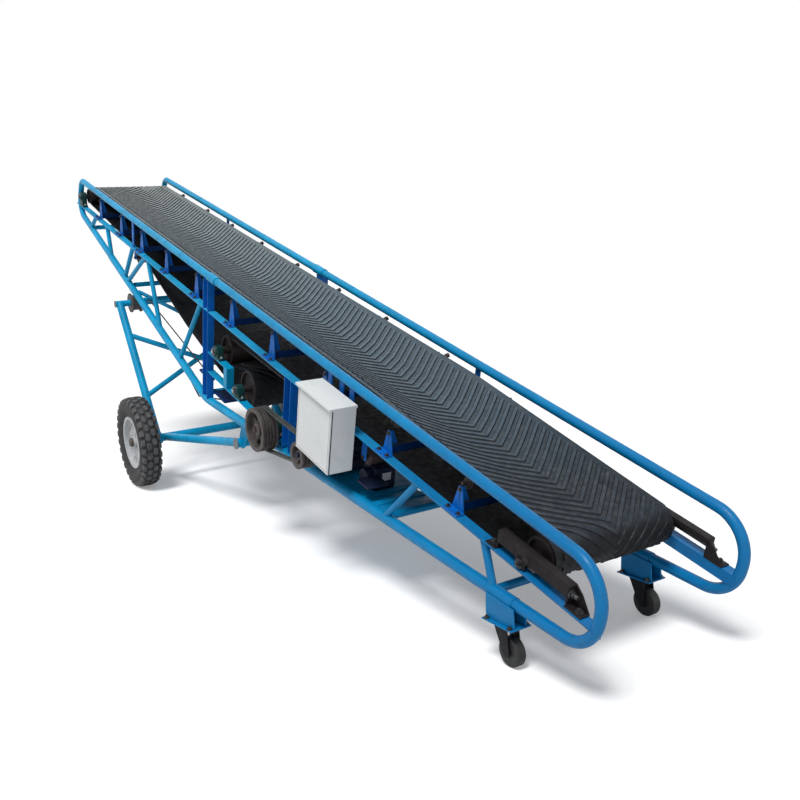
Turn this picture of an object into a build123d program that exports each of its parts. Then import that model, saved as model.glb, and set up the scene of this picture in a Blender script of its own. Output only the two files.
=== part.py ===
from build123d import *
import math
import os

os.makedirs("parts", exist_ok=True)

# The machine stands on Z = 0 with X running from the high head end to the low tail end.
# Its deck is described in deck coordinates: s down the slope, y across, n square to the deck.

# Whole machine, millimetres and degrees
INCLINE = 16.2
GAUGE = 760
SEAT_GAP = 0.3
MOVE_GAP = 6

# Side frame loop: corners as (s, n) of the tube's centre line, with bend radii
HEAD_TOP = (0, 0)
HEAD_LOW = (-129, -289)
BOOM_BEND = (3002, -866)
TAIL_S = 6646
TAIL_LOW = (TAIL_S, -332)
TAIL_TOP = (TAIL_S, 0)
HEAD_TOP_RADIUS = 80
HEAD_LOW_RADIUS = 130
BOOM_RADIUS = 400
TAIL_RADIUS = 170
RAIL_OD = 48
BOOM_OD = 54
RAIL_SPLICE_S = 3040
SLOPE_SPLICE_S = 850
TAIL_SPLICE_S = 6230
HEAD_JOINT_S = 250
TAIL_JOINT_S = 6350
BOOM_JOINT_S = 2700

# Mid chord angle, posts and bracing
MID_TOP = -220
ANGLE_LEG = 50
ANGLE_WALL = 5
POST_WIDTH = 62
POST_DEPTH = 30
POST_WALL = 5
POST_S = (3040, 4255)
BRACE_OD = 34
BRACES = ((420, 260), (745, 860), (1444, 1216), (1809, 2075), (2895, 2490), (5510, 5275), (5990, 6085))
STRUT_WIDTH = 40
STRUT_WALL = 8
STRUT_S = (1460, 3040, 4674, 4894)
CROSS_TUBE_OD = 38
CROSS_TUBE_S = (262, 860, 1137, 2075, 2940, 5275, 6085)

# Troughed belt: flat width of each of its three lanes, wing angle and thickness
BELT_LANE = 230
BELT_WING = 185
WING_ANGLE = 25
BELT_THICKNESS = 10
BELT_TOP = -78
PULLEY_RADIUS = 80
PULLEY_FACE = 650
HEAD_PULLEY = (30, -136)
TAIL_PULLEY = (6255, -173)
TROUGH_ENDS = (420, 5870)

# Drive and return path: (s, n) of the centres
DRIVE_DRUM = (3541, -585)
DRIVE_RADIUS = 112
SNUB_DRUM = (3200, -448)
SNUB_RADIUS = 92
BEND_ROLLER = (1345, -350)
BEND_RADIUS = 44
DRUM_FACE = 640
DRUM_RIM = 12
DRUM_DISH = 18
SHAFT_RADIUS = 22
SHAFT_COLLAR = 2
JOURNAL_RADIUS = 20
JOURNAL_LENGTH = 14
DRIVE_SHAFT_END = 450
TAIL_SHAFT_RADIUS = 17
TAIL_SHAFT_END = 396
ROLLER_FACE = 640
ROLLER_PIN_END = 362
RETURN_ROLLER_S = 5000
RETURN_ROLLER_N = -350
HANGER_WIDTH = 40
HANGER_WALL = 6

# Carrying idlers
IDLER_FIRST_S = 500
IDLER_PITCH = 581
IDLER_COUNT = 10
IDLER_RADIUS = 30
IDLER_PIN_RADIUS = 9
IDLER_GAP = 8
IDLER_ANGLE = 40
IDLER_WALL = 5
BRACKET_FOOT = 70
BRACKET_HEAD = 20
BRACKET_RISE = 178
BRACKET_TIP_Y = 300
INNER_POST_WIDTH = 6

# Pillow blocks
BLOCK_HEIGHT = 48
BLOCK_RADIUS = 42
BLOCK_FOOT = 144
BLOCK_FOOT_RISE = 16
BLOCK_WIDTH = 44

# Drive frame
UPPER_BEAM_TOP = SNUB_DRUM[1] - BLOCK_HEIGHT
LOWER_BEAM_TOP = DRIVE_DRUM[1] - BLOCK_HEIGHT
UPPER_BEAM_END = 3400
BEAM_LEG = 50
BEAM_WALL = 6

# Counter shaft, its sheave, the motor and the V-belts
COUNTER_S = 4085
SHEAVE_RADIUS = 122
SHEAVE_FRONT = 524
SHEAVE_WIDTH = 94
GROOVE_COUNT = 4
GROOVE_PITCH = 19
GROOVE_DEPTH = 14
GROOVE_TOP = 15
GROOVE_FLOOR = 8
SHEAVE_DISH = 30
SHEAVE_HOLE = 19
SHEAVE_HOLE_CIRCLE = 62
SHEAVE_HOLES = 5
SHEAVE_HUB = 34
SHEAVE_HUB_DROP = 18
V_BELT_DEPTH = 9
V_BELT_PROUD = 1
GROOVE_TAPER = (GROOVE_TOP - GROOVE_FLOOR) / (GROOVE_DEPTH + SEAT_GAP)
V_BELT_WIDTH = GROOVE_TOP - GROOVE_TAPER * (V_BELT_DEPTH - V_BELT_PROUD + SEAT_GAP) - 2 * SEAT_GAP
MOTOR = (4621, -490)
MOTOR_SHEAVE_RADIUS = 66
MOTOR_RADIUS = 96
MOTOR_FIN_RADIUS = 108
MOTOR_SHAFT_RADIUS = 14
MOTOR_FACE = 362
MOTOR_LENGTH = 330
MOTOR_FINS = 18
FIN_WALL = 4
MOTOR_FOOT_WIDTH = 190
MOTOR_FOOT_RISE = 12
BELL_LENGTH = 30
BASE_MARGIN = 40
BASE_WALL = 8
CHAIN_CASE_WIDTH = 60
CHAIN_CASE_MARGIN = 26
COUNTER_GEAR_RADIUS = 50
DRUM_GEAR_RADIUS = 95

# Control box
BOX_S = (4645, 4985)
BOX_N = (-420, -78)
BOX_DEPTH = 127
BOX_WALL = 6
DOOR_WALL = 10
LID_OVERHANG = 9
LID_WALL = 12

# Take-up frames at the tail
TAKEUP_S = (6030, 6540)
TAKEUP_TOP = -105
TAKEUP_DEPTH = 48
TAKEUP_WALL = 8
TAKEUP_FOOT = 30
SLIDE_BLOCK = 100
SLIDE_BLOCK_RISE = 62
SCREW_RADIUS = 10

# Undercarriage: pivot and axle as (s, n), and where the leg rollers stand on the boom
PIVOT = (3534, -958)
AXLE = (2341, -1452)
ROLLER_S = 1467
LEG_OD = 60
ARM_OD = 57
LEG_Y = 502
ARM_AXLE_Y = 440
ARM_PIVOT_Y = 425
PIVOT_END_Y = 462
ROLLER_TREAD = 60
ROLLER_FLANGE = 76
ROLLER_FLANGE_WALL = 9
TOP_TUBE_OD = 50
TOP_TUBE_END = 537
LEG_BRACE_OD = 40
LEG_BRACE_SHARES = (0.3, 0.76)
SLEEVE_RADIUS = 42
SLEEVE_WIDTH = 50
ROLLER_SIDE_GAP = 5
AXLE_TUBE_END = 532
AXLE_STUB_RADIUS = 19
AXLE_STUB_END = 706
PIVOT_PLATE_WALL = 14
PIVOT_PLATE_FOOT = 260

# Road wheels
TYRE_RADIUS = 335
TYRE_WIDTH = 150
TYRE_CENTRE_Y = 646
TYRE_SHOULDER = 26
TYRE_BULGE = 8
RIM_RADIUS = 178
RIM_FLANGE = 194
RIM_WALL = 8
RIM_WIDTH = 116
DISC_OFFSET = 18
HUB_RADIUS = 46
HUB_LENGTH = 96
RIM_SLOTS = 10
SLOT_CIRCLE = 138
SLOT_LENGTH = 46
SLOT_WIDTH = 20
STUD_CIRCLE = 72
STUD_COUNT = 5
STUD_RADIUS = 9

# Castors
CASTOR_S = 6167
CASTOR_HEIGHT = 178
CASTOR_RADIUS = 62
CASTOR_WIDTH = 42
CASTOR_TRAIL = 32
CASTOR_PLATE = (186, 104)
CASTOR_PLATE_WALL = 6
FORK_WALL = 5
FORK_CROWN_RADIUS = 40
CASTOR_PIN_RADIUS = 6
CASTOR_STEM_RADIUS = 12
CASTOR_CROWN_GAP = 2
CASTOR_EDGE = 6
FORK_TOE = 16
BRACKET_WALL = 6
SADDLE_RISE = 8

SIDES = (("near", -1), ("far", 1))
LOW = (Align.CENTER, Align.CENTER, Align.MIN)

# The frame's outline centres the machine over the origin, and its wheels set the height
SIN = math.sin(math.radians(INCLINE))
COS = math.cos(math.radians(INCLINE))
LOOP = (HEAD_TOP, HEAD_LOW, BOOM_BEND, TAIL_LOW, TAIL_TOP)
LOOP_RADII = (HEAD_TOP_RADIUS, HEAD_LOW_RADIUS, BOOM_RADIUS, TAIL_RADIUS, TAIL_RADIUS)
LEVEL_SIDE = Plane(origin=(0, 0, 0), x_dir=(COS, 0, -SIN), z_dir=(0, -1, 0))
with BuildLine(LEVEL_SIDE) as outline:
    FilletPolyline(*LOOP, radius=list(LOOP_RADII), close=True)
reach = outline.line.bounding_box()
MIDDLE_X = (reach.min.X + reach.max.X) / 2
AXLE_DROP = AXLE[0] * SIN - AXLE[1] * COS
DECK = Plane(
    origin=(-MIDDLE_X, 0, TYRE_RADIUS + AXLE_DROP), x_dir=(COS, 0, -SIN), z_dir=(SIN, 0, COS)
)


def deck(s, y=0, n=0):
    """The point in space at deck coordinates s, y and n."""
    return DECK.from_local_coords(Vector(s, y, n))


def side_plane(y, s=0, n=0):
    """A plane facing the near side, with x down the slope and y square to the deck."""
    return Plane(origin=deck(s, y, n), x_dir=DECK.x_dir, z_dir=(0, -1, 0))


def cross_plane(s, y=0, n=0):
    """A plane square to the slope and facing the tail, with x across and y square to the deck."""
    return Plane(origin=deck(s, y, n), x_dir=(0, 1, 0), z_dir=DECK.x_dir)


def rod(start, end, diameter):
    """A straight round bar between two points."""
    run = end - start
    with Locations(Plane(origin=start, z_dir=run)):
        Cylinder(diameter / 2, run.length, align=LOW)


def turned(s, n, steps, mode=Mode.ADD):
    """Round steps on one cross shaft, each given as (y from, y to, radius)."""
    for y_from, y_to, radius in steps:
        with Locations(Plane(origin=deck(s, y_from, n), z_dir=(0, 1, 0))):
            Cylinder(radius, y_to - y_from, align=LOW, mode=mode)


def bent_tube(y, corners, radii, diameter):
    """A round tube that follows the corners of the side frame in the plane at y."""
    with BuildPart() as tube:
        with BuildLine(side_plane(y)) as path:
            FilletPolyline(*corners, radius=list(radii))
        with BuildSketch(Plane(origin=path.line @ 0, z_dir=path.line % 0)):
            Circle(diameter / 2)
        sweep(path=path.line)
    return tube.part


def line_n(start, end, s):
    """The height n at s on the straight line between two (s, n) points."""
    return start[1] + (end[1] - start[1]) * (s - start[0]) / (end[0] - start[0])


def boom_n(s):
    """The height n of the boom's centre line at s."""
    if s < BOOM_BEND[0]:
        return line_n(HEAD_LOW, BOOM_BEND, s)
    return line_n(BOOM_BEND, TAIL_LOW, s)


HEAD_RAIL = (
    ((RAIL_SPLICE_S, 0), HEAD_TOP, HEAD_LOW, (SLOPE_SPLICE_S, boom_n(SLOPE_SPLICE_S))),
    (HEAD_TOP_RADIUS, HEAD_LOW_RADIUS),
)
TAIL_RAIL = (
    ((RAIL_SPLICE_S, 0), TAIL_TOP, TAIL_LOW, (TAIL_SPLICE_S, boom_n(TAIL_SPLICE_S))),
    (TAIL_RADIUS, TAIL_RADIUS),
)
BOOM = (
    ((SLOPE_SPLICE_S, boom_n(SLOPE_SPLICE_S)), BOOM_BEND, (TAIL_SPLICE_S, boom_n(TAIL_SPLICE_S))),
    (BOOM_RADIUS,),
)
HEAD_BEND = (((HEAD_JOINT_S - SEAT_GAP, 0), *HEAD_RAIL[0][1:]), HEAD_RAIL[1])
TAIL_BEND = (((TAIL_JOINT_S + SEAT_GAP, 0), *TAIL_RAIL[0][1:]), TAIL_RAIL[1])
BOOM_TAIL = (((BOOM_JOINT_S + SEAT_GAP, boom_n(BOOM_JOINT_S + SEAT_GAP)), *BOOM[0][1:]), BOOM[1])
MID_UNDER = MID_TOP - ANGLE_WALL
SIDE_Y = GAUGE / 2
JOURNAL_START = SIDE_Y + BLOCK_WIDTH / 2 + SHAFT_COLLAR
ANGLE_INNER = SIDE_Y - ANGLE_LEG / 2
ANGLE_OUTER = SIDE_Y + ANGLE_LEG / 2

# Side frames: the bent rails, the boom, the mid chord, the posts and the bracing
clearance = {}
for side, sign in SIDES:
    y = sign * SIDE_Y
    with BuildPart() as head_rail:
        add(bent_tube(y, *HEAD_BEND, RAIL_OD))
        rod(deck(HEAD_JOINT_S, y), deck(RAIL_SPLICE_S, y), RAIL_OD)
    head_rail.part.label = f"{side}_head_rail"
    export_step(head_rail.part, f"parts/{side}_head_rail.step")

    with BuildPart() as tail_rail:
        add(bent_tube(y, *TAIL_BEND, RAIL_OD))
        rod(deck(RAIL_SPLICE_S + SEAT_GAP, y), deck(TAIL_JOINT_S, y), RAIL_OD)
    tail_rail.part.label = f"{side}_tail_rail"
    export_step(tail_rail.part, f"parts/{side}_tail_rail.step")

    with BuildPart() as boom:
        add(bent_tube(y, *BOOM_TAIL, BOOM_OD))
        start = deck(SLOPE_SPLICE_S, y, boom_n(SLOPE_SPLICE_S))
        rod(start, deck(BOOM_JOINT_S, y, boom_n(BOOM_JOINT_S)), BOOM_OD)
    boom.part.label = f"{side}_boom"
    export_step(boom.part, f"parts/{side}_boom.step")

    clearance[side] = (
        bent_tube(y, *HEAD_RAIL, RAIL_OD + 2 * SEAT_GAP),
        bent_tube(y, *TAIL_RAIL, RAIL_OD + 2 * SEAT_GAP),
        bent_tube(y, *BOOM, BOOM_OD + 2 * SEAT_GAP),
    )

    with BuildPart() as mid_chord:
        with BuildSketch(cross_plane(HEAD_LOW[0])):
            with Locations((y, MID_TOP - ANGLE_WALL / 2)):
                Rectangle(ANGLE_LEG, ANGLE_WALL)
            with Locations((sign * (ANGLE_INNER + ANGLE_WALL / 2), MID_TOP - ANGLE_LEG / 2)):
                Rectangle(ANGLE_WALL, ANGLE_LEG)
        extrude(amount=TAIL_TOP[0] - HEAD_LOW[0])
        for tube in clearance[side]:
            add(tube, mode=Mode.SUBTRACT)
        tail_scrap = mid_chord.part.solids().sort_by(SortBy.VOLUME)[:-1]
        for scrap in tail_scrap:
            add(scrap, mode=Mode.SUBTRACT)
    mid_chord.part.label = f"{side}_mid_chord"
    export_step(mid_chord.part, f"parts/{side}_mid_chord.step")

    with BuildPart() as posts:
        for s in POST_S:
            with BuildSketch(DECK.offset(MID_UNDER - SEAT_GAP)):
                with Locations((s, y)):
                    Rectangle(POST_WIDTH, POST_DEPTH)
                with Locations((s, y - sign * POST_WALL)):
                    Rectangle(POST_WIDTH - 2 * POST_WALL, POST_DEPTH, mode=Mode.SUBTRACT)
            extrude(amount=boom_n(s) - MID_UNDER)
        for s in STRUT_S:
            with BuildSketch(side_plane(y + sign * STRUT_WALL / 2)):
                with Locations((s, MID_TOP / 2)):
                    Rectangle(STRUT_WIDTH, -MID_TOP - 2 * SEAT_GAP)
            extrude(amount=STRUT_WALL * sign)
        for tube in clearance[side]:
            add(tube, mode=Mode.SUBTRACT)
    posts.part.label = f"{side}_posts"
    export_step(posts.part, f"parts/{side}_posts.step")

    with BuildPart() as bracing:
        for top_s, foot_s in BRACES:
            rod(deck(top_s, y, MID_UNDER), deck(foot_s, y, boom_n(foot_s)), BRACE_OD)
        split(bisect_by=DECK.offset(MID_UNDER - SEAT_GAP), keep=Keep.BOTTOM)
        for tube in clearance[side]:
            add(tube, mode=Mode.SUBTRACT)
    bracing.part.label = f"{side}_bracing"
    export_step(bracing.part, f"parts/{side}_bracing.step")

# Cross tubes between the two booms
with BuildPart() as cross_tubes:
    for s in CROSS_TUBE_S:
        rod(deck(s, -SIDE_Y, boom_n(s)), deck(s, SIDE_Y, boom_n(s)), CROSS_TUBE_OD)
    for side, sign in SIDES:
        for tube in clearance[side]:
            add(tube, mode=Mode.SUBTRACT)
cross_tubes.part.label = "cross_tubes"
export_step(cross_tubes.part, "parts/cross_tubes.step")

# Belt: a troughed carrying run, lofts to flat at both pulleys, and the flat return run
WING_DY = BELT_WING * math.cos(math.radians(WING_ANGLE))
WING_DN = BELT_WING * math.sin(math.radians(WING_ANGLE))
FLAT_HALF = BELT_LANE / 2 + BELT_WING


def lane(s, inner, outer):
    """One lane of the belt's section at s, between two (y, n) points of its top surface."""
    with BuildSketch(cross_plane(s)) as section:
        Polygon(
            inner,
            outer,
            (outer[0], outer[1] - BELT_THICKNESS),
            (inner[0], inner[1] - BELT_THICKNESS),
            align=None,
        )
    return section.sketch


def contact(centre, radius, heading):
    """Where a belt of this heading meets a wheel, with radius positive for wheels on its left."""
    turn = math.radians(heading)
    return (centre[0] + radius * math.sin(turn), centre[1] - radius * math.cos(turn))


def tangent_heading(start, start_radius, end, end_radius):
    """The heading of a belt that runs from one wheel to the next."""
    ds, dn = end[0] - start[0], end[1] - start[1]
    lean = math.asin((end_radius - start_radius) / math.hypot(ds, dn))
    return math.degrees(math.atan2(dn, ds) - lean)


HALF_BELT = BELT_THICKNESS / 2
RETURN_WHEELS = (
    (HEAD_PULLEY, PULLEY_RADIUS + HALF_BELT),
    (BEND_ROLLER, -BEND_RADIUS - HALF_BELT),
    (DRIVE_DRUM, DRIVE_RADIUS + HALF_BELT),
    (SNUB_DRUM, -SNUB_RADIUS - HALF_BELT),
    (TAIL_PULLEY, PULLEY_RADIUS + HALF_BELT),
)

with BuildPart() as belt:
    low_s, high_s = TROUGH_ENDS
    with BuildSketch(cross_plane(low_s)):
        top = (
            (-BELT_LANE / 2 - WING_DY, BELT_TOP + WING_DN),
            (-BELT_LANE / 2, BELT_TOP),
            (BELT_LANE / 2, BELT_TOP),
            (BELT_LANE / 2 + WING_DY, BELT_TOP + WING_DN),
        )
        under = [(y, n - BELT_THICKNESS) for y, n in reversed(top)]
        Polygon(*top, *under, align=None)
    extrude(amount=high_s - low_s)
    for pulley, trough_s in ((HEAD_PULLEY, low_s), (TAIL_PULLEY, high_s)):
        flat_n = pulley[1] + PULLEY_RADIUS + BELT_THICKNESS
        for inner, outer, wing_y, wing_n in (
            (-BELT_LANE / 2, BELT_LANE / 2, BELT_LANE / 2, BELT_TOP),
            (BELT_LANE / 2, FLAT_HALF, BELT_LANE / 2 + WING_DY, BELT_TOP + WING_DN),
            (-BELT_LANE / 2, -FLAT_HALF, -BELT_LANE / 2 - WING_DY, BELT_TOP + WING_DN),
        ):
            flat = lane(pulley[0], (inner, flat_n), (outer, flat_n))
            loft([flat, lane(trough_s, (inner, BELT_TOP), (wing_y, wing_n))], ruled=True)
    with BuildLine(side_plane(0)) as return_run:
        heading = 180
        for (centre, radius), (onward, onward_radius) in zip(RETURN_WHEELS, RETURN_WHEELS[1:]):
            leaving = tangent_heading(centre, radius, onward, onward_radius)
            turn = (leaving - heading) % math.copysign(360, radius)
            CenterArc(centre, abs(radius), heading - math.copysign(90, radius), turn)
            Line(contact(centre, radius, leaving), contact(onward, onward_radius, leaving))
            heading = leaving
        CenterArc(TAIL_PULLEY, PULLEY_RADIUS + HALF_BELT, heading - 90, (180 - heading) % 360)
    with BuildSketch(Plane(origin=return_run.line @ 0, x_dir=(0, 1, 0), z_dir=return_run.line % 0)):
        Rectangle(2 * FLAT_HALF, BELT_THICKNESS)
    sweep(path=return_run.line)
belt.part.label = "belt"
export_step(belt.part, "parts/belt.step")

# Pulleys and drums, each with its shaft
JOURNAL_END = JOURNAL_START + JOURNAL_LENGTH
TURNED_SHAFT = (
    (-JOURNAL_START, JOURNAL_START, SHAFT_RADIUS),
    (-JOURNAL_END, JOURNAL_END, JOURNAL_RADIUS),
)
DRIVE_SHAFT = (
    (-JOURNAL_START, DRIVE_SHAFT_END, SHAFT_RADIUS),
    (-JOURNAL_END, 0, JOURNAL_RADIUS),
)
TAIL_SHAFT = ((-TAIL_SHAFT_END, TAIL_SHAFT_END, TAIL_SHAFT_RADIUS),)
for label, (s, n), radius, face, shaft in (
    ("head_pulley", HEAD_PULLEY, PULLEY_RADIUS, PULLEY_FACE, TURNED_SHAFT),
    ("tail_pulley", TAIL_PULLEY, PULLEY_RADIUS, PULLEY_FACE, TAIL_SHAFT),
    ("drive_drum", DRIVE_DRUM, DRIVE_RADIUS, DRUM_FACE, DRIVE_SHAFT),
    ("snub_drum", SNUB_DRUM, SNUB_RADIUS, DRUM_FACE, TURNED_SHAFT),
):
    skin = radius - SEAT_GAP
    with BuildPart() as drum:
        turned(s, n, ((-face / 2, face / 2, skin),))
        for y_from in (-face / 2, face / 2 - DRUM_DISH):
            turned(s, n, ((y_from, y_from + DRUM_DISH, skin - DRUM_RIM),), mode=Mode.SUBTRACT)
        turned(s, n, shaft)
    drum.part.label = label
    export_step(drum.part, f"parts/{label}.step")

# Rollers under the return run
with BuildPart() as return_rollers:
    for s, n in (BEND_ROLLER, (RETURN_ROLLER_S, RETURN_ROLLER_N)):
        turned(s, n, (
            (-ROLLER_FACE / 2, ROLLER_FACE / 2, BEND_RADIUS - SEAT_GAP),
            (-ROLLER_PIN_END, ROLLER_PIN_END, IDLER_PIN_RADIUS),
        ))
return_rollers.part.label = "return_rollers"
export_step(return_rollers.part, "parts/return_rollers.step")

# Hangers that carry the return rollers from the mid chords
with BuildPart() as hangers:
    for s, n in (BEND_ROLLER, (RETURN_ROLLER_S, RETURN_ROLLER_N)):
        with BuildSketch(side_plane(-ANGLE_INNER + HANGER_WALL + SEAT_GAP)):
            with Locations((s, (MID_TOP - ANGLE_WALL + n) / 2 - HANGER_WIDTH / 4)):
                Rectangle(HANGER_WIDTH, MID_TOP - ANGLE_WALL - n + HANGER_WIDTH / 2)
            with Locations((s, n)):
                Circle(IDLER_PIN_RADIUS + SEAT_GAP, mode=Mode.SUBTRACT)
        extrude(amount=HANGER_WALL)
    mirror(about=Plane.XZ)
hangers.part.label = "roller_hangers"
export_step(hangers.part, "parts/roller_hangers.step")

# Carrying idlers: a cross angle on the mid chords, tapered end brackets and inner posts
ROLLER_AXIS_N = BELT_TOP - BELT_THICKNESS - IDLER_RADIUS - SEAT_GAP
IDLER_S = [IDLER_FIRST_S + IDLER_PITCH * index for index in range(IDLER_COUNT)]
WING_SIN = math.sin(math.radians(WING_ANGLE))
WING_COS = math.cos(math.radians(WING_ANGLE))
with BuildPart() as idler_frames:
    for s in IDLER_S:
        with BuildSketch(side_plane(ANGLE_OUTER, s)):
            with Locations((0, MID_TOP + IDLER_WALL / 2)):
                Rectangle(IDLER_ANGLE, IDLER_WALL)
            with Locations((IDLER_ANGLE / 2 - IDLER_WALL / 2, MID_TOP + IDLER_ANGLE / 2)):
                Rectangle(IDLER_WALL, IDLER_ANGLE)
        extrude(amount=2 * ANGLE_OUTER)
        for sign in (-1, 1):
            with BuildSketch(cross_plane(s + IDLER_ANGLE / 2)):
                with Locations((sign * (BELT_LANE / 2 + IDLER_GAP / 2), (MID_TOP + ROLLER_AXIS_N) / 2)):
                    Rectangle(INNER_POST_WIDTH, ROLLER_AXIS_N - MID_TOP)
            extrude(amount=BRACKET_WALL)
idler_frames.part.label = "idler_frames"
export_step(idler_frames.part, "parts/idler_frames.step")

with BuildPart() as idler_brackets:
    for s in IDLER_S:
        with BuildSketch(cross_plane(s + IDLER_ANGLE / 2)):
            Polygon(
                (ANGLE_OUTER, MID_TOP),
                (ANGLE_OUTER - BRACKET_FOOT, MID_TOP),
                (BRACKET_TIP_Y, MID_TOP + BRACKET_RISE),
                (BRACKET_TIP_Y + BRACKET_HEAD, MID_TOP + BRACKET_RISE),
                align=None,
            )
        extrude(amount=BRACKET_WALL)
    mirror(about=Plane.XZ)
idler_brackets.part.label = "idler_brackets"
export_step(idler_brackets.part, "parts/idler_brackets.step")

with BuildPart() as idler_rollers:
    for s in IDLER_S:
        lane_half = BELT_LANE / 2 - IDLER_GAP
        turned(s, ROLLER_AXIS_N, ((-lane_half, lane_half, IDLER_RADIUS),))
        seat = IDLER_RADIUS + SEAT_GAP
        corner = Vector(BELT_LANE / 2 + seat * WING_SIN, BELT_TOP - BELT_THICKNESS - seat * WING_COS)
        along = Vector(WING_COS, WING_SIN)
        for sign in (-1, 1):
            near_end, far_end = (corner + along * reach for reach in (IDLER_GAP, BELT_WING - IDLER_GAP))
            start = deck(s, sign * near_end.X, near_end.Y)
            end = deck(s, sign * far_end.X, far_end.Y)
            rod(start, end, 2 * IDLER_RADIUS)
idler_rollers.part.label = "idler_rollers"
export_step(idler_rollers.part, "parts/idler_rollers.step")

# Pillow blocks under the shafts
with BuildPart() as pillow_blocks:
    for (s, n), seat_n in (
        (HEAD_PULLEY, MID_TOP),
        (SNUB_DRUM, UPPER_BEAM_TOP),
        (DRIVE_DRUM, LOWER_BEAM_TOP),
        ((COUNTER_S, LOWER_BEAM_TOP + BLOCK_HEIGHT), LOWER_BEAM_TOP),
    ):
        with BuildSketch(side_plane(-SIDE_Y + BLOCK_WIDTH / 2)):
            with Locations((s, n)):
                Circle(BLOCK_RADIUS)
            Polygon(
                (s - BLOCK_RADIUS, n),
                (s + BLOCK_RADIUS, n),
                (s + BLOCK_RADIUS + BLOCK_FOOT_RISE, seat_n + BLOCK_FOOT_RISE),
                (s - BLOCK_RADIUS - BLOCK_FOOT_RISE, seat_n + BLOCK_FOOT_RISE),
                align=None,
            )
            with Locations((s, seat_n + BLOCK_FOOT_RISE / 2)):
                Rectangle(BLOCK_FOOT, BLOCK_FOOT_RISE)
            with Locations((s, n)):
                Circle(SHAFT_RADIUS + SEAT_GAP, mode=Mode.SUBTRACT)
        extrude(amount=BLOCK_WIDTH)
    mirror(about=Plane.XZ)
pillow_blocks.part.label = "pillow_blocks"
export_step(pillow_blocks.part, "parts/pillow_blocks.step")

# Bearer angles between the posts that carry the pillow blocks, and the upper one's hanger
with BuildPart() as bearers:
    first_s = POST_S[0] + POST_WIDTH / 2 + SEAT_GAP
    for end_s, top_n in (
        (UPPER_BEAM_END, UPPER_BEAM_TOP),
        (POST_S[1] - POST_WIDTH / 2 - SEAT_GAP, LOWER_BEAM_TOP),
    ):
        with BuildSketch(cross_plane(first_s)):
            with Locations((SIDE_Y, top_n - BEAM_WALL / 2)):
                Rectangle(BEAM_LEG, BEAM_WALL)
            with Locations((ANGLE_INNER + BEAM_WALL / 2, top_n - BEAM_LEG / 2)):
                Rectangle(BEAM_WALL, BEAM_LEG)
        extrude(amount=end_s - first_s)
    with BuildSketch(DECK.offset(LOWER_BEAM_TOP)):
        with Locations((UPPER_BEAM_END - BEAM_LEG / 2, ANGLE_OUTER - BEAM_WALL / 2)):
            Rectangle(BEAM_LEG, BEAM_WALL)
        with Locations((UPPER_BEAM_END - BEAM_WALL / 2, SIDE_Y)):
            Rectangle(BEAM_WALL, BEAM_LEG)
    extrude(amount=UPPER_BEAM_TOP - BEAM_WALL - LOWER_BEAM_TOP)
    for tube in clearance["far"]:
        add(tube, mode=Mode.SUBTRACT)
    mirror(about=Plane.XZ)
bearers.part.label = "bearers"
export_step(bearers.part, "parts/bearers.step")

# Counter shaft with its sheave, and the motor with its own
COUNTER_N = LOWER_BEAM_TOP + BLOCK_HEIGHT
with BuildPart() as counter_shaft:
    hub_face = SHEAVE_FRONT - SHEAVE_HUB_DROP
    turned(COUNTER_S, COUNTER_N, (
        (-hub_face - SHAFT_COLLAR, DRIVE_SHAFT_END, SHAFT_RADIUS),
        (-hub_face - SHAFT_COLLAR - JOURNAL_LENGTH, 0, JOURNAL_RADIUS),
    ))
counter_shaft.part.label = "counter_shaft"
export_step(counter_shaft.part, "parts/counter_shaft.step")

SHEAVE_BACK = SHEAVE_FRONT - SHEAVE_WIDTH
GROOVE_Y = [
    -SHEAVE_BACK - SHEAVE_WIDTH / 2 + GROOVE_PITCH * (index - (GROOVE_COUNT - 1) / 2)
    for index in range(GROOVE_COUNT)
]
for label, (s, n), radius, bore in (
    ("drive_sheave", (COUNTER_S, COUNTER_N), SHEAVE_RADIUS, SHAFT_RADIUS),
    ("motor_sheave", MOTOR, MOTOR_SHEAVE_RADIUS, MOTOR_SHAFT_RADIUS),
):
    with BuildPart() as sheave:
        turned(s, n, ((-SHEAVE_FRONT, -SHEAVE_BACK, radius),))
        for y in GROOVE_Y:
            with BuildSketch(Plane(origin=deck(s, y, n), x_dir=DECK.x_dir, z_dir=DECK.z_dir)):
                Polygon(
                    (radius + SEAT_GAP, -GROOVE_TOP / 2),
                    (radius + SEAT_GAP, GROOVE_TOP / 2),
                    (radius - GROOVE_DEPTH, GROOVE_FLOOR / 2),
                    (radius - GROOVE_DEPTH, -GROOVE_FLOOR / 2),
                    align=None,
                )
            revolve(axis=Axis(deck(s, 0, n), (0, 1, 0)), mode=Mode.SUBTRACT)
        if label == "drive_sheave":
            dish = radius - GROOVE_DEPTH - DRUM_RIM
            turned(s, n, ((-SHEAVE_FRONT, -SHEAVE_FRONT + SHEAVE_DISH, dish),), mode=Mode.SUBTRACT)
            turned(s, n, ((-SHEAVE_BACK - SHEAVE_DISH, -SHEAVE_BACK, dish),), mode=Mode.SUBTRACT)
            with Locations(side_plane(-SHEAVE_BACK, s, n)):
                with PolarLocations(SHEAVE_HOLE_CIRCLE, SHEAVE_HOLES):
                    Cylinder(SHEAVE_HOLE, 2 * SHEAVE_WIDTH, mode=Mode.SUBTRACT)
            turned(s, n, ((-SHEAVE_FRONT + SHEAVE_HUB_DROP, -SHEAVE_BACK, SHEAVE_HUB),))
        turned(s, n, ((-SHEAVE_FRONT, -SHEAVE_BACK, bore + SEAT_GAP),), mode=Mode.SUBTRACT)
    sheave.part.label = label
    export_step(sheave.part, f"parts/{label}.step")

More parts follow.
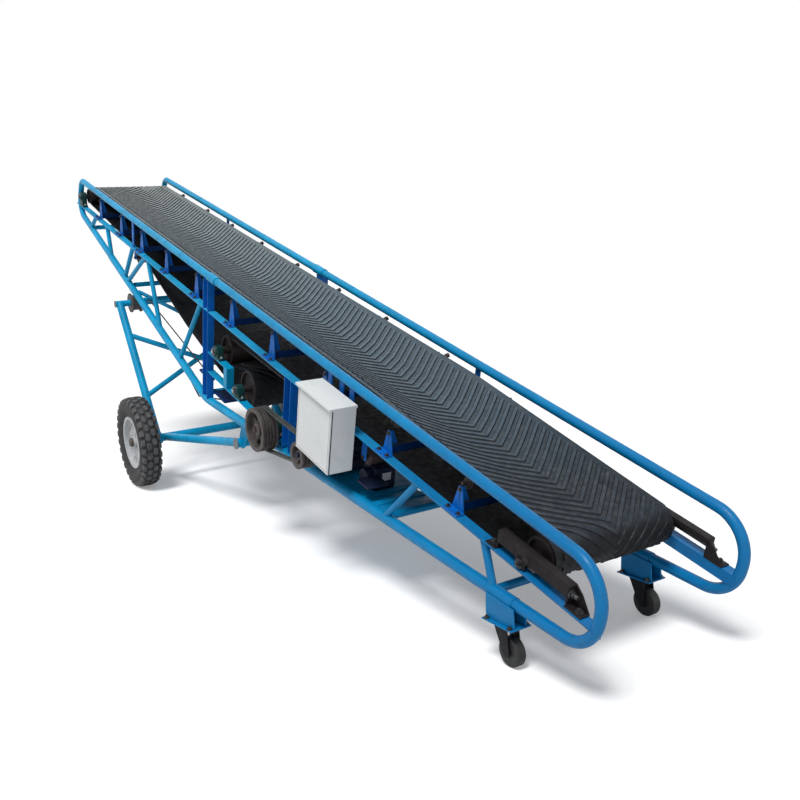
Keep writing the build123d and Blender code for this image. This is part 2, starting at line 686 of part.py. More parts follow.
with BuildPart() as v_belts:
    for y in GROOVE_Y:
        for grow, mode in ((V_BELT_PROUD, Mode.ADD), (V_BELT_PROUD - V_BELT_DEPTH, Mode.SUBTRACT)):
            with BuildSketch(side_plane(y + V_BELT_WIDTH / 2)):
                with Locations((COUNTER_S, COUNTER_N)):
                    Circle(SHEAVE_RADIUS + grow)
                with Locations(MOTOR):
                    Circle(MOTOR_SHEAVE_RADIUS + grow)
                make_hull()
            extrude(amount=V_BELT_WIDTH, mode=mode)
v_belts.part.label = "v_belts"
export_step(v_belts.part, "parts/v_belts.step")

MOTOR_BACK = -MOTOR_FACE + MOTOR_LENGTH
BASE_LIFT = BOOM_OD / 2 - BASE_WALL
BASE_S = (MOTOR[0] - MOTOR_FOOT_WIDTH / 2 - BASE_MARGIN, MOTOR[0] + MOTOR_FOOT_WIDTH / 2 + BASE_MARGIN)
FOOT_S = (MOTOR[0] - MOTOR_FOOT_WIDTH / 2, MOTOR[0] + MOTOR_FOOT_WIDTH / 2)
with BuildPart() as motor:
    turned(*MOTOR, (
        (-MOTOR_FACE, MOTOR_BACK, MOTOR_RADIUS),
        (-MOTOR_FACE - BELL_LENGTH, MOTOR_BACK + BELL_LENGTH, MOTOR_RADIUS - FIN_WALL),
        (-SHEAVE_FRONT, 0, MOTOR_SHAFT_RADIUS),
    ))
    with Locations(side_plane((-MOTOR_FACE + MOTOR_BACK) / 2, *MOTOR)):
        with PolarLocations((MOTOR_RADIUS + MOTOR_FIN_RADIUS) / 2 - FIN_WALL, MOTOR_FINS):
            Box(MOTOR_FIN_RADIUS - MOTOR_RADIUS + 2 * FIN_WALL, FIN_WALL, MOTOR_LENGTH - 2 * BELL_LENGTH)
    with BuildSketch(side_plane(MOTOR_BACK - BELL_LENGTH)):
        Polygon(
            (MOTOR[0] - MOTOR_RADIUS / 2, MOTOR[1]),
            (MOTOR[0] + MOTOR_RADIUS / 2, MOTOR[1]),
            (FOOT_S[1], boom_n(FOOT_S[1]) + BASE_LIFT + BASE_WALL + MOTOR_FOOT_RISE),
            (FOOT_S[1], boom_n(FOOT_S[1]) + BASE_LIFT + BASE_WALL + SEAT_GAP),
            (FOOT_S[0], boom_n(FOOT_S[0]) + BASE_LIFT + BASE_WALL + SEAT_GAP),
            (FOOT_S[0], boom_n(FOOT_S[0]) + BASE_LIFT + BASE_WALL + MOTOR_FOOT_RISE),
            align=None,
        )
    extrude(amount=MOTOR_LENGTH - 2 * BELL_LENGTH)
motor.part.label = "motor"
export_step(motor.part, "parts/motor.step")

with BuildPart() as motor_base:
    with BuildSketch(side_plane(SIDE_Y)):
        Polygon(
            (BASE_S[0], boom_n(BASE_S[0]) + BASE_LIFT),
            (BASE_S[1], boom_n(BASE_S[1]) + BASE_LIFT),
            (BASE_S[1], boom_n(BASE_S[1]) + BASE_LIFT + BASE_WALL),
            (BASE_S[0], boom_n(BASE_S[0]) + BASE_LIFT + BASE_WALL),
            align=None,
        )
    extrude(amount=GAUGE)
    for side, sign in SIDES:
        add(clearance[side][2], mode=Mode.SUBTRACT)
    base_scrap = motor_base.part.solids().sort_by(SortBy.VOLUME)[:-1]
    for scrap in base_scrap:
        add(scrap, mode=Mode.SUBTRACT)
motor_base.part.label = "motor_base"
export_step(motor_base.part, "parts/motor_base.step")

# Chain case on the far side, from the counter shaft to the drive drum
with BuildPart() as chain_case:
    with BuildSketch(side_plane(ANGLE_OUTER + SEAT_GAP + CHAIN_CASE_WIDTH)):
        with Locations(DRIVE_DRUM):
            Circle(DRUM_GEAR_RADIUS + CHAIN_CASE_MARGIN)
        with Locations((COUNTER_S, COUNTER_N)):
            Circle(COUNTER_GEAR_RADIUS + CHAIN_CASE_MARGIN)
        make_hull()
    extrude(amount=CHAIN_CASE_WIDTH)
    for s, n in (DRIVE_DRUM, (COUNTER_S, COUNTER_N)):
        bore = (ANGLE_OUTER, DRIVE_SHAFT_END + SEAT_GAP, SHAFT_RADIUS + SEAT_GAP)
        turned(s, n, (bore,), mode=Mode.SUBTRACT)
chain_case.part.label = "chain_case"
export_step(chain_case.part, "parts/chain_case.step")

# Take-up frames on the mid chords, with the slide blocks that hold the tail pulley
with BuildPart() as takeup_frames:
    with BuildSketch(cross_plane(TAKEUP_S[0])):
        with Locations((SIDE_Y, TAKEUP_TOP - TAKEUP_DEPTH / 2)):
            Rectangle(ANGLE_LEG, TAKEUP_DEPTH)
        with Locations((SIDE_Y, TAKEUP_TOP - TAKEUP_WALL - TAKEUP_DEPTH / 2)):
            Rectangle(ANGLE_LEG - 2 * TAKEUP_WALL, TAKEUP_DEPTH, mode=Mode.SUBTRACT)
    extrude(amount=TAKEUP_S[1] - TAKEUP_S[0])
    with BuildSketch(DECK.offset(MID_TOP)):
        for s in (TAKEUP_S[0] + TAKEUP_FOOT / 2, TAKEUP_S[1] - TAKEUP_FOOT / 2):
            with Locations((s, SIDE_Y)):
                Rectangle(TAKEUP_FOOT, ANGLE_LEG)
    extrude(amount=TAKEUP_TOP - TAKEUP_WALL - MID_TOP)
    for tube in clearance["far"]:
        add(tube, mode=Mode.SUBTRACT)
    mirror(about=Plane.XZ)
takeup_frames.part.label = "takeup_frames"
export_step(takeup_frames.part, "parts/takeup_frames.step")

with BuildPart() as slide_blocks:
    s, n = TAIL_PULLEY
    inner_width = ANGLE_LEG - 2 * TAKEUP_WALL - 2 * SEAT_GAP
    with BuildSketch(side_plane(-SIDE_Y + inner_width / 2)):
        with Locations((s, n)):
            Rectangle(SLIDE_BLOCK, SLIDE_BLOCK_RISE)
            Circle(TAIL_SHAFT_RADIUS + SEAT_GAP, mode=Mode.SUBTRACT)
    extrude(amount=inner_width)
    screw_start = deck(s + SLIDE_BLOCK / 2, -SIDE_Y, n)
    rod(screw_start, deck(TAKEUP_S[1] - TAKEUP_FOOT - SEAT_GAP, -SIDE_Y, n), 2 * SCREW_RADIUS)
    mirror(about=Plane.XZ)
slide_blocks.part.label = "slide_blocks"
export_step(slide_blocks.part, "parts/slide_blocks.step")

# Control box on the near side, with a door that turns on the box's head edge
BOX_FRONT = -ANGLE_OUTER - SEAT_GAP - BOX_DEPTH
BOX_LENGTH = BOX_S[1] - BOX_S[0]
BOX_RISE = BOX_N[1] - BOX_N[0]
BOX_MIDDLE = ((BOX_S[0] + BOX_S[1]) / 2, (BOX_N[0] + BOX_N[1]) / 2)
with BuildPart() as control_box:
    with BuildSketch(side_plane(-ANGLE_OUTER - SEAT_GAP)):
        with Locations(BOX_MIDDLE):
            Rectangle(BOX_LENGTH, BOX_RISE)
    extrude(amount=BOX_DEPTH)
    with BuildSketch(side_plane(-ANGLE_OUTER - SEAT_GAP - BOX_WALL)):
        with Locations(BOX_MIDDLE):
            Rectangle(BOX_LENGTH - 2 * BOX_WALL, BOX_RISE - 2 * BOX_WALL)
    extrude(amount=BOX_DEPTH, mode=Mode.SUBTRACT)
    with BuildSketch(side_plane(-ANGLE_OUTER - SEAT_GAP)):
        with Locations((BOX_MIDDLE[0], BOX_N[1] + LID_WALL / 2)):
            Rectangle(BOX_LENGTH + 2 * LID_OVERHANG, LID_WALL)
    extrude(amount=BOX_DEPTH + DOOR_WALL + LID_OVERHANG + MOVE_GAP)
control_box.part.label = "control_box"
export_step(control_box.part, "parts/control_box.step")

with BuildPart() as box_door:
    with BuildSketch(side_plane(BOX_FRONT - SEAT_GAP)):
        with Locations((BOX_MIDDLE[0], BOX_MIDDLE[1] - MOVE_GAP / 2)):
            Rectangle(BOX_LENGTH, BOX_RISE - MOVE_GAP)
    extrude(amount=DOOR_WALL)
box_door.part.label = "box_door"
export_step(box_door.part, "parts/box_door.step")

# Undercarriage: the arms, pivot tube and axle turn on the plates under the booms
ROLLER_DROP = BOOM_OD / 2 + ROLLER_TREAD + SEAT_GAP
SLOPE = math.atan2(BOOM_BEND[1] - HEAD_LOW[1], BOOM_BEND[0] - HEAD_LOW[0])
ROLLER = (ROLLER_S, boom_n(ROLLER_S) - ROLLER_DROP / math.cos(SLOPE))
with BuildPart() as arm_frame:
    turned(*PIVOT, ((-PIVOT_END_Y, PIVOT_END_Y, LEG_OD / 2),))
    turned(*AXLE, (
        (-AXLE_TUBE_END, AXLE_TUBE_END, LEG_OD / 2),
        (-AXLE_STUB_END, AXLE_STUB_END, AXLE_STUB_RADIUS),
    ))
    for sign in (-1, 1):
        start = deck(AXLE[0], sign * ARM_AXLE_Y, AXLE[1])
        rod(start, deck(PIVOT[0], sign * ARM_PIVOT_Y, PIVOT[1]), ARM_OD)
arm_frame.part.label = "arm_frame"
export_step(arm_frame.part, "parts/arm_frame.step")

with BuildPart() as pivot_plates:
    low_s, high_s = PIVOT[0] - PIVOT_PLATE_FOOT / 2, PIVOT[0] + PIVOT_PLATE_FOOT / 2
    with BuildSketch(side_plane(-SIDE_Y + PIVOT_PLATE_WALL / 2)):
        with BuildLine():
            Polyline(
                (low_s, boom_n(low_s)),
                (PIVOT[0] - SLEEVE_RADIUS, PIVOT[1]),
                (PIVOT[0] + SLEEVE_RADIUS, PIVOT[1]),
                (high_s, boom_n(high_s)),
                close=True,
            )
        make_face()
        with Locations(PIVOT):
            Circle(SLEEVE_RADIUS)
            Circle(LEG_OD / 2 + SEAT_GAP, mode=Mode.SUBTRACT)
    extrude(amount=PIVOT_PLATE_WALL)
    add(clearance["near"][2], mode=Mode.SUBTRACT)
    upper_scrap = pivot_plates.part.solids().sort_by(SortBy.VOLUME)[:-1]
    for scrap in upper_scrap:
        add(scrap, mode=Mode.SUBTRACT)
    mirror(about=Plane.XZ)
pivot_plates.part.label = "pivot_plates"
export_step(pivot_plates.part, "parts/pivot_plates.step")

# Legs: sleeves on the axle, a top tube with two flanged rollers, and crossed braces
with BuildPart() as leg_frame:
    turned(*ROLLER, ((-TOP_TUBE_END, TOP_TUBE_END, TOP_TUBE_OD / 2),))
    for sign in (-1, 1):
        foot = deck(AXLE[0], sign * LEG_Y, AXLE[1])
        head = deck(ROLLER[0], sign * LEG_Y, ROLLER[1])
        rod(foot, head, LEG_OD)
        low, high = (foot + (head - foot) * share for share in LEG_BRACE_SHARES)
        across = Vector(0, -2 * sign * LEG_Y, 0)
        rod(low, high + across, LEG_BRACE_OD)
        y_from = sign * LEG_Y - SLEEVE_WIDTH / 2
        turned(*AXLE, ((y_from, y_from + SLEEVE_WIDTH, SLEEVE_RADIUS),))
    turned(*AXLE, ((-AXLE_STUB_END, AXLE_STUB_END, LEG_OD / 2 + SEAT_GAP),), mode=Mode.SUBTRACT)
leg_frame.part.label = "leg_frame"
export_step(leg_frame.part, "parts/leg_frame.step")

with BuildPart() as guide_rollers:
    groove_half = BOOM_OD / 2 + ROLLER_SIDE_GAP
    for sign in (-1, 1):
        y = sign * SIDE_Y
        flange_half = groove_half + SEAT_GAP + ROLLER_FLANGE_WALL
        turned(*ROLLER, (
            (y - groove_half, y + groove_half, ROLLER_TREAD),
            (y - flange_half, y - groove_half - SEAT_GAP, ROLLER_FLANGE),
            (y + groove_half + SEAT_GAP, y + flange_half, ROLLER_FLANGE),
        ))
    turned(*ROLLER, ((-TOP_TUBE_END, TOP_TUBE_END, TOP_TUBE_OD / 2 + SEAT_GAP),), mode=Mode.SUBTRACT)
guide_rollers.part.label = "guide_rollers"
export_step(guide_rollers.part, "parts/guide_rollers.step")

# Road wheels
axle_centre = deck(AXLE[0], 0, AXLE[1])
for side, sign in SIDES:
    centre = Vector(axle_centre.X, sign * TYRE_CENTRE_Y, axle_centre.Z)
    section = Plane(origin=centre, x_dir=(0, sign, 0), z_dir=(-sign, 0, 0))
    spin = Axis(centre, (0, 1, 0))
    half, rim_half = TYRE_WIDTH / 2, RIM_WIDTH / 2
    with BuildPart() as tyre:
        with BuildSketch(section):
            with BuildLine():
                Polyline(
                    (-rim_half + RIM_WALL, RIM_RADIUS + SEAT_GAP),
                    (rim_half - RIM_WALL, RIM_RADIUS + SEAT_GAP),
                )
                for flank in (-1, 1):
                    bead = flank * (rim_half - RIM_WALL)
                    Line((bead, RIM_RADIUS + SEAT_GAP), (bead, RIM_FLANGE + SEAT_GAP))
                    ThreePointArc(
                        (bead, RIM_FLANGE + SEAT_GAP),
                        (flank * half, (RIM_RADIUS + TYRE_RADIUS) / 2),
                        (flank * (half - TYRE_BULGE), TYRE_RADIUS - TYRE_SHOULDER),
                    )
                    Line(
                        (flank * (half - TYRE_BULGE), TYRE_RADIUS - TYRE_SHOULDER),
                        (flank * (half - TYRE_SHOULDER), TYRE_RADIUS),
                    )
                Line((TYRE_SHOULDER - half, TYRE_RADIUS), (half - TYRE_SHOULDER, TYRE_RADIUS))
            make_face()
        revolve(axis=spin)
    tyre.part.label = f"{side}_tyre"
    export_step(tyre.part, f"parts/{side}_tyre.step")

    with BuildPart() as wheel:
        with BuildSketch(section):
            with BuildLine():
                Polyline(
                    (-rim_half, RIM_FLANGE),
                    (-rim_half + RIM_WALL - SEAT_GAP, RIM_FLANGE),
                    (-rim_half + RIM_WALL - SEAT_GAP, RIM_RADIUS),
                    (rim_half - RIM_WALL + SEAT_GAP, RIM_RADIUS),
                    (rim_half - RIM_WALL + SEAT_GAP, RIM_FLANGE),
                    (rim_half, RIM_FLANGE),
                    (rim_half, RIM_RADIUS - RIM_WALL),
                    (DISC_OFFSET + RIM_WALL, RIM_RADIUS - RIM_WALL),
                    (DISC_OFFSET + RIM_WALL, HUB_RADIUS),
                    (HUB_LENGTH / 2, HUB_RADIUS),
                    (HUB_LENGTH / 2, AXLE_STUB_RADIUS + SEAT_GAP),
                    (-HUB_LENGTH / 2, AXLE_STUB_RADIUS + SEAT_GAP),
                    (-HUB_LENGTH / 2, HUB_RADIUS),
                    (DISC_OFFSET, HUB_RADIUS),
                    (DISC_OFFSET, RIM_RADIUS - RIM_WALL),
                    (-rim_half, RIM_RADIUS - RIM_WALL),
                    close=True,
                )
            make_face()
        revolve(axis=spin)
        disc_plane = Plane(origin=centre, x_dir=(1, 0, 0), z_dir=(0, sign, 0))
        with BuildSketch(disc_plane.offset(DISC_OFFSET)):
            with PolarLocations(SLOT_CIRCLE, RIM_SLOTS):
                SlotOverall(SLOT_LENGTH, SLOT_WIDTH, rotation=90)
        extrude(amount=RIM_WALL, mode=Mode.SUBTRACT)
        with BuildSketch(disc_plane.offset(DISC_OFFSET + RIM_WALL)):
            with PolarLocations(STUD_CIRCLE, STUD_COUNT):
                Circle(STUD_RADIUS)
        extrude(amount=RIM_WALL)
    wheel.part.label = f"{side}_wheel"
    export_step(wheel.part, f"parts/{side}_wheel.step")

# Castors, level on brackets under the tail rails
castor_centre = deck(CASTOR_S, 0, boom_n(CASTOR_S))
castor_foot = Plane(origin=(castor_centre.X, SIDE_Y, CASTOR_HEIGHT), x_dir=(1, 0, 0), z_dir=(0, 0, 1))
last_tube_s = CROSS_TUBE_S[-1]
with BuildPart() as tube_room:
    tube_end = deck(last_tube_s, SIDE_Y, boom_n(last_tube_s))
    rod(deck(last_tube_s, 0, boom_n(last_tube_s)), tube_end, CROSS_TUBE_OD + 2 * SEAT_GAP)
with BuildPart() as castor_brackets:
    with BuildSketch(castor_foot):
        Rectangle(*CASTOR_PLATE)
        Circle(CASTOR_STEM_RADIUS + SEAT_GAP, mode=Mode.SUBTRACT)
    extrude(amount=-CASTOR_PLATE_WALL)
    low_s, high_s = CASTOR_S - CASTOR_PLATE[0] / 2, CASTOR_S + CASTOR_PLATE[0] / 2
    low_top, high_top = (deck(s, 0, boom_n(s) + SADDLE_RISE) for s in (low_s, high_s))
    for cheek in (-1, 1):
        inner_y = SIDE_Y + cheek * (BOOM_OD / 2 + SEAT_GAP)
        cheek_plane = Plane(origin=(0, inner_y, 0), x_dir=(1, 0, 0), z_dir=(0, -1, 0))
        with BuildSketch(cheek_plane):
            Polygon(
                (castor_centre.X - CASTOR_PLATE[0] / 2, CASTOR_HEIGHT),
                (castor_centre.X + CASTOR_PLATE[0] / 2, CASTOR_HEIGHT),
                (castor_centre.X + CASTOR_PLATE[0] / 2, high_top.Z),
                (castor_centre.X - CASTOR_PLATE[0] / 2, low_top.Z),
                align=None,
            )
        extrude(amount=-cheek * BRACKET_WALL)
    add(tube_room.part, mode=Mode.SUBTRACT)
    for tube in clearance["far"]:
        add(tube, mode=Mode.SUBTRACT)
    mirror(about=Plane.XZ)
castor_brackets.part.label = "castor_brackets"
export_step(castor_brackets.part, "parts/castor_brackets.step")

for side, sign in SIDES:
    y = sign * SIDE_Y
    crown_top = CASTOR_HEIGHT - CASTOR_PLATE_WALL - CASTOR_CROWN_GAP
    with BuildPart() as fork:
        with BuildSketch(Plane(origin=(castor_centre.X, y, crown_top), z_dir=(0, 0, 1))):
            Circle(FORK_CROWN_RADIUS)
        extrude(amount=-FORK_WALL)
        with BuildSketch(Plane(origin=(castor_centre.X, y, crown_top), z_dir=(0, 0, 1))):
            Circle(CASTOR_STEM_RADIUS)
        extrude(amount=CASTOR_CROWN_GAP + CASTOR_PLATE_WALL)
        for cheek in (-1, 1):
            cheek_y = y + cheek * (CASTOR_WIDTH / 2 + MOVE_GAP)
            cheek_plane = Plane(
                origin=(castor_centre.X, cheek_y, 0), x_dir=(1, 0, 0), z_dir=(0, -1, 0)
            )
            with BuildSketch(cheek_plane):
                with BuildLine():
                    Polyline(
                        (-FORK_CROWN_RADIUS, crown_top - FORK_WALL),
                        (CASTOR_TRAIL - FORK_TOE, CASTOR_RADIUS - FORK_TOE),
                        (CASTOR_TRAIL + FORK_TOE, CASTOR_RADIUS - FORK_TOE),
                        (CASTOR_TRAIL + FORK_TOE, CASTOR_RADIUS),
                        (FORK_CROWN_RADIUS, crown_top - FORK_WALL),
                        close=True,
                    )
                make_face()
            extrude(amount=-cheek * FORK_WALL)
        pin_half = CASTOR_WIDTH / 2 + MOVE_GAP + FORK_WALL
        pin_y = y - pin_half
        with Locations(Plane(
            origin=(castor_centre.X + CASTOR_TRAIL, pin_y, CASTOR_RADIUS), z_dir=(0, 1, 0)
        )):
            Cylinder(CASTOR_PIN_RADIUS, 2 * pin_half, align=LOW)
    fork.part.label = f"{side}_castor_fork"
    export_step(fork.part, f"parts/{side}_castor_fork.step")

    wheel_centre = Vector(castor_centre.X + CASTOR_TRAIL, y, CASTOR_RADIUS)
    with BuildPart() as castor_wheel:
        with Locations(Plane(origin=wheel_centre, z_dir=(0, 1, 0))):
            Cylinder(CASTOR_RADIUS, CASTOR_WIDTH)
            Cylinder(CASTOR_PIN_RADIUS + SEAT_GAP, CASTOR_WIDTH, mode=Mode.SUBTRACT)
        fillet(castor_wheel.edges().filter_by(GeomType.CIRCLE).group_by(SortBy.LENGTH)[-1], CASTOR_EDGE)
    castor_wheel.part.label = f"{side}_castor_wheel"
    export_step(castor_wheel.part, f"parts/{side}_castor_wheel.step")
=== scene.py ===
import math

import bmesh
import bpy
from mathutils import Matrix, Vector


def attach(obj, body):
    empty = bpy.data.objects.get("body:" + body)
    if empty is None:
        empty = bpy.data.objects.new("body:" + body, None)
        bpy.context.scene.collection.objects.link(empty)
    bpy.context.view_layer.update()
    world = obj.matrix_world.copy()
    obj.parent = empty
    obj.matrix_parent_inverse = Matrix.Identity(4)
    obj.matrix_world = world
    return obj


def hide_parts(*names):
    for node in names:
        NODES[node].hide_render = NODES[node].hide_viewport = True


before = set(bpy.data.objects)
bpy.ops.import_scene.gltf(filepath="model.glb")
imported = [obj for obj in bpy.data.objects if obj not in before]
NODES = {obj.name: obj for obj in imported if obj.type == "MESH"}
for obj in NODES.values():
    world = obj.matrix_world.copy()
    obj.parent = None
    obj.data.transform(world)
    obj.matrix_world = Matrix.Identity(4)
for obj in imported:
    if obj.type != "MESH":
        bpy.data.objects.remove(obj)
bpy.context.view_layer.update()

# The conveyor's deck, in metres: its slope and its origin
INCLINE = math.radians(16.2)
MIDDLE_X = -3.1064575
ORIGIN_Z = 2.3824646
TAIL_DIR = Vector((math.cos(INCLINE), 0, -math.sin(INCLINE)))
DECK_UP = Vector((math.sin(INCLINE), 0, math.cos(INCLINE)))
DECK = Matrix((
    (TAIL_DIR.x, 0, DECK_UP.x, MIDDLE_X),
    (0, 1, 0, 0),
    (TAIL_DIR.z, 0, DECK_UP.z, ORIGIN_Z),
    (0, 0, 0, 1),
))


def deck(s, y, n):
    """The point at s down the slope, y across and n square to the deck, in metres."""
    return DECK @ Vector((s, y, n))


def lean(direction):
    """A deck direction turned into the row's frame."""
    return DECK.to_3x3() @ Vector(direction)


# Camera, at the photograph's place and angle
CAMERA_SPOT = (8.342, -2.475, 1.697)
CAMERA_FORWARD = (-0.7546, 0.5205, -0.3995)
CAMERA_RIGHT = (0.5324, 0.8416, 0.0911)
PHOTO_FOCAL = 905.4
PHOTO_WIDTH = 800
SENSOR = 36


def make_camera():
    data = bpy.data.cameras.new("photo_camera")
    data.sensor_width = SENSOR
    data.lens = PHOTO_FOCAL / PHOTO_WIDTH * SENSOR
    camera = bpy.data.objects.new("photo_camera", data)
    bpy.context.scene.collection.objects.link(camera)
    forward = lean(CAMERA_FORWARD).normalized()
    right = lean(CAMERA_RIGHT)
    right = (right - forward * right.dot(forward)).normalized()
    up = right.cross(forward)
    turn = Matrix((right, up, -forward)).transposed().to_4x4()
    camera.matrix_world = Matrix.Translation(deck(*CAMERA_SPOT)) @ turn
    bpy.context.scene.camera = camera


make_camera()


# Colours and shader nodes
def srgb(red, green, blue):
    """A linear colour from a screen colour of 0 to 255."""
    def linear(level):
        share = level / 255
        return share / 12.92 if share <= 0.04045 else ((share + 0.055) / 1.055) ** 2.4
    return (linear(red), linear(green), linear(blue), 1)


class Shader:
    """A material's node tree, with short calls for the nodes that the finishes share."""

    def __init__(self, name, roughness, metallic=0.0, coat=0.0):
        self.material = bpy.data.materials.new(name)
        self.material.use_nodes = True
        self.tree = self.material.node_tree
        self.surface = self.tree.nodes["Principled BSDF"]
        self.surface.inputs["Roughness"].default_value = roughness
        self.surface.inputs["Metallic"].default_value = metallic
        self.surface.inputs["Coat Weight"].default_value = coat
        self.place = self.tree.nodes.new("ShaderNodeTexCoord").outputs["Object"]

    def link(self, source, target):
        self.tree.links.new(source, target)

    def noise(self, scale, detail=4.0, rough=0.55, vector=None):
        node = self.tree.nodes.new("ShaderNodeTexNoise")
        node.inputs["Scale"].default_value = scale
        node.inputs["Detail"].default_value = detail
        node.inputs["Roughness"].default_value = rough
        self.link(vector or self.place, node.inputs["Vector"])
        return node.outputs["Fac"]

    def stretched(self, scale):
        node = self.tree.nodes.new("ShaderNodeMapping")
        node.inputs["Scale"].default_value = scale
        self.link(self.place, node.inputs["Vector"])
        return node.outputs["Vector"]

    def ramp(self, factor, *stops):
        node = self.tree.nodes.new("ShaderNodeValToRGB")
        elements = node.color_ramp.elements
        while len(elements) < len(stops):
            elements.new(0.5)
        for element, (position, colour) in zip(elements, stops):
            element.position = position
            element.color = colour if len(colour) == 4 else (*colour, 1)
        self.link(factor, node.inputs["Fac"])
        return node.outputs["Color"]

    def feed(self, value, socket):
        """Links another node's output to the socket, or sets a plain value."""
        if hasattr(value, "is_linked"):
            self.link(value, socket)
        else:
            socket.default_value = value

    def mix(self, factor, first, second):
        node = self.tree.nodes.new("ShaderNodeMix")
        node.data_type = "RGBA"
        self.feed(factor, node.inputs[0])
        self.feed(first, node.inputs[6])
        self.feed(second, node.inputs[7])
        return node.outputs[2]

    def product(self, first, second):
        node = self.tree.nodes.new("ShaderNodeMath")
        node.operation = "MULTIPLY"
        self.link(first, node.inputs[0])
        self.link(second, node.inputs[1])
        return node.outputs[0]

    def along_row(self):
        """How far along the row's X axis a point lies."""
        node = self.tree.nodes.new("ShaderNodeSeparateXYZ")
        self.link(self.place, node.inputs["Vector"])
        return node.outputs["X"]

    def upward(self, vector):
        """How much of a vector points square to the deck."""
        node = self.tree.nodes.new("ShaderNodeVectorMath")
        node.operation = "DOT_PRODUCT"
        self.link(vector, node.inputs[0])
        node.inputs[1].default_value = DECK_UP
        return node.outputs["Value"]

    def levels(self, factor, low, high, from_low=0.35, from_high=0.65):
        node = self.tree.nodes.new("ShaderNodeMapRange")
        node.inputs["From Min"].default_value = from_low
        node.inputs["From Max"].default_value = from_high
        node.inputs["To Min"].default_value = low
        node.inputs["To Max"].default_value = high
        self.link(factor, node.inputs["Value"])
        return node.outputs["Result"]

    def colour(self, source):
        self.link(source, self.surface.inputs["Base Color"])

    def rough(self, source):
        self.link(source, self.surface.inputs["Roughness"])

    def bump(self, height, strength, distance):
        node = self.tree.nodes.new("ShaderNodeBump")
        node.inputs["Strength"].default_value = strength
        node.inputs["Distance"].default_value = distance
        self.link(height, node.inputs["Height"])
        self.link(node.outputs["Normal"], self.surface.inputs["Normal"])


WHITE = (1, 1, 1, 1)
# Where the colours that change along the machine begin and end, in metres: painted shade toward the tail, and
# on the belt painted reflection and shade with dust
HEAD_X = -3.1
TAIL_X = 2.9


def shade(colour, share):
    """The colour made darker, or lighter where share is over 1."""
    return (*(min(channel * share, 1) for channel in colour[:3]), 1)


def enamel(name, colour, dirt=0.2, roughness=0.38, tail_shade_colour=None):
    """Brushed-on enamel with uneven gloss, dirt and small chips. Given a tail shade colour, it turns darker
    toward the tail, a painted shade.
    """
    shader = Shader(name, roughness, coat=0.03)
    shader.surface.inputs["Specular IOR Level"].default_value = 0.2
    patches = shader.noise(7, 5)
    base = shader.ramp(patches, (0.3, shade(colour, 0.8)), (0.52, colour), (0.72, shade(colour, 1.18)))
    # Painted shade: the colour turns darker toward the tail
    if tail_shade_colour:
        share = shader.levels(shader.along_row(), 0, 0.85, -0.3, TAIL_X)
        base = shader.mix(share, base, tail_shade_colour)
    grime = shader.levels(shader.noise(19, 8, 0.7), 0, dirt, 0.52, 0.75)
    base = shader.mix(grime, base, shade(srgb(62, 58, 50), 0.6))
    chips = shader.levels(shader.noise(120, 8, 0.75), 0, 0.4, 0.74, 0.8)
    base = shader.mix(chips, base, shade(colour, 0.45))
    shader.colour(base)
    shader.rough(shader.levels(shader.noise(30, 4), roughness - 0.08, roughness + 0.16))
    shader.bump(shader.noise(160, 3), 0.12, 0.0006)
    return shader.material


def dark_steel(name, colour, roughness=0.45, metallic=0.85, rust=0.35):
    """Machined steel or iron with an oxidised, oily skin."""
    shader = Shader(name, roughness, metallic)
    skin = shader.noise(23, 7, 0.65)
    base = shader.ramp(skin, (0.3, shade(colour, 0.65)), (0.55, colour), (0.75, shade(colour, 1.35)))
    stain = shader.levels(shader.noise(9, 8, 0.7), 0, rust, 0.5, 0.72)
    base = shader.mix(stain, base, srgb(92, 62, 44))
    shader.colour(base)
    shader.rough(shader.levels(shader.noise(41, 5), roughness - 0.1, roughness + 0.2))
    shader.bump(shader.noise(240, 4), 0.2, 0.0005)
    return shader.material


def plain_rubber(name, colour, roughness=0.72, dust=0.25):
    """Matt rubber with a light dust."""
    shader = Shader(name, roughness)
    base = shader.ramp(shader.noise(17, 6), (0.3, shade(colour, 0.7)), (0.7, shade(colour, 1.3)))
    powder = shader.levels(shader.noise(38, 8, 0.7), 0, dust, 0.45, 0.8)
    shader.colour(shader.mix(powder, base, srgb(120, 116, 106)))
    shader.rough(shader.levels(shader.noise(60, 4), roughness - 0.1, roughness + 0.1))
    shader.bump(shader.noise(420, 3), 0.25, 0.0006)
    return shader.material


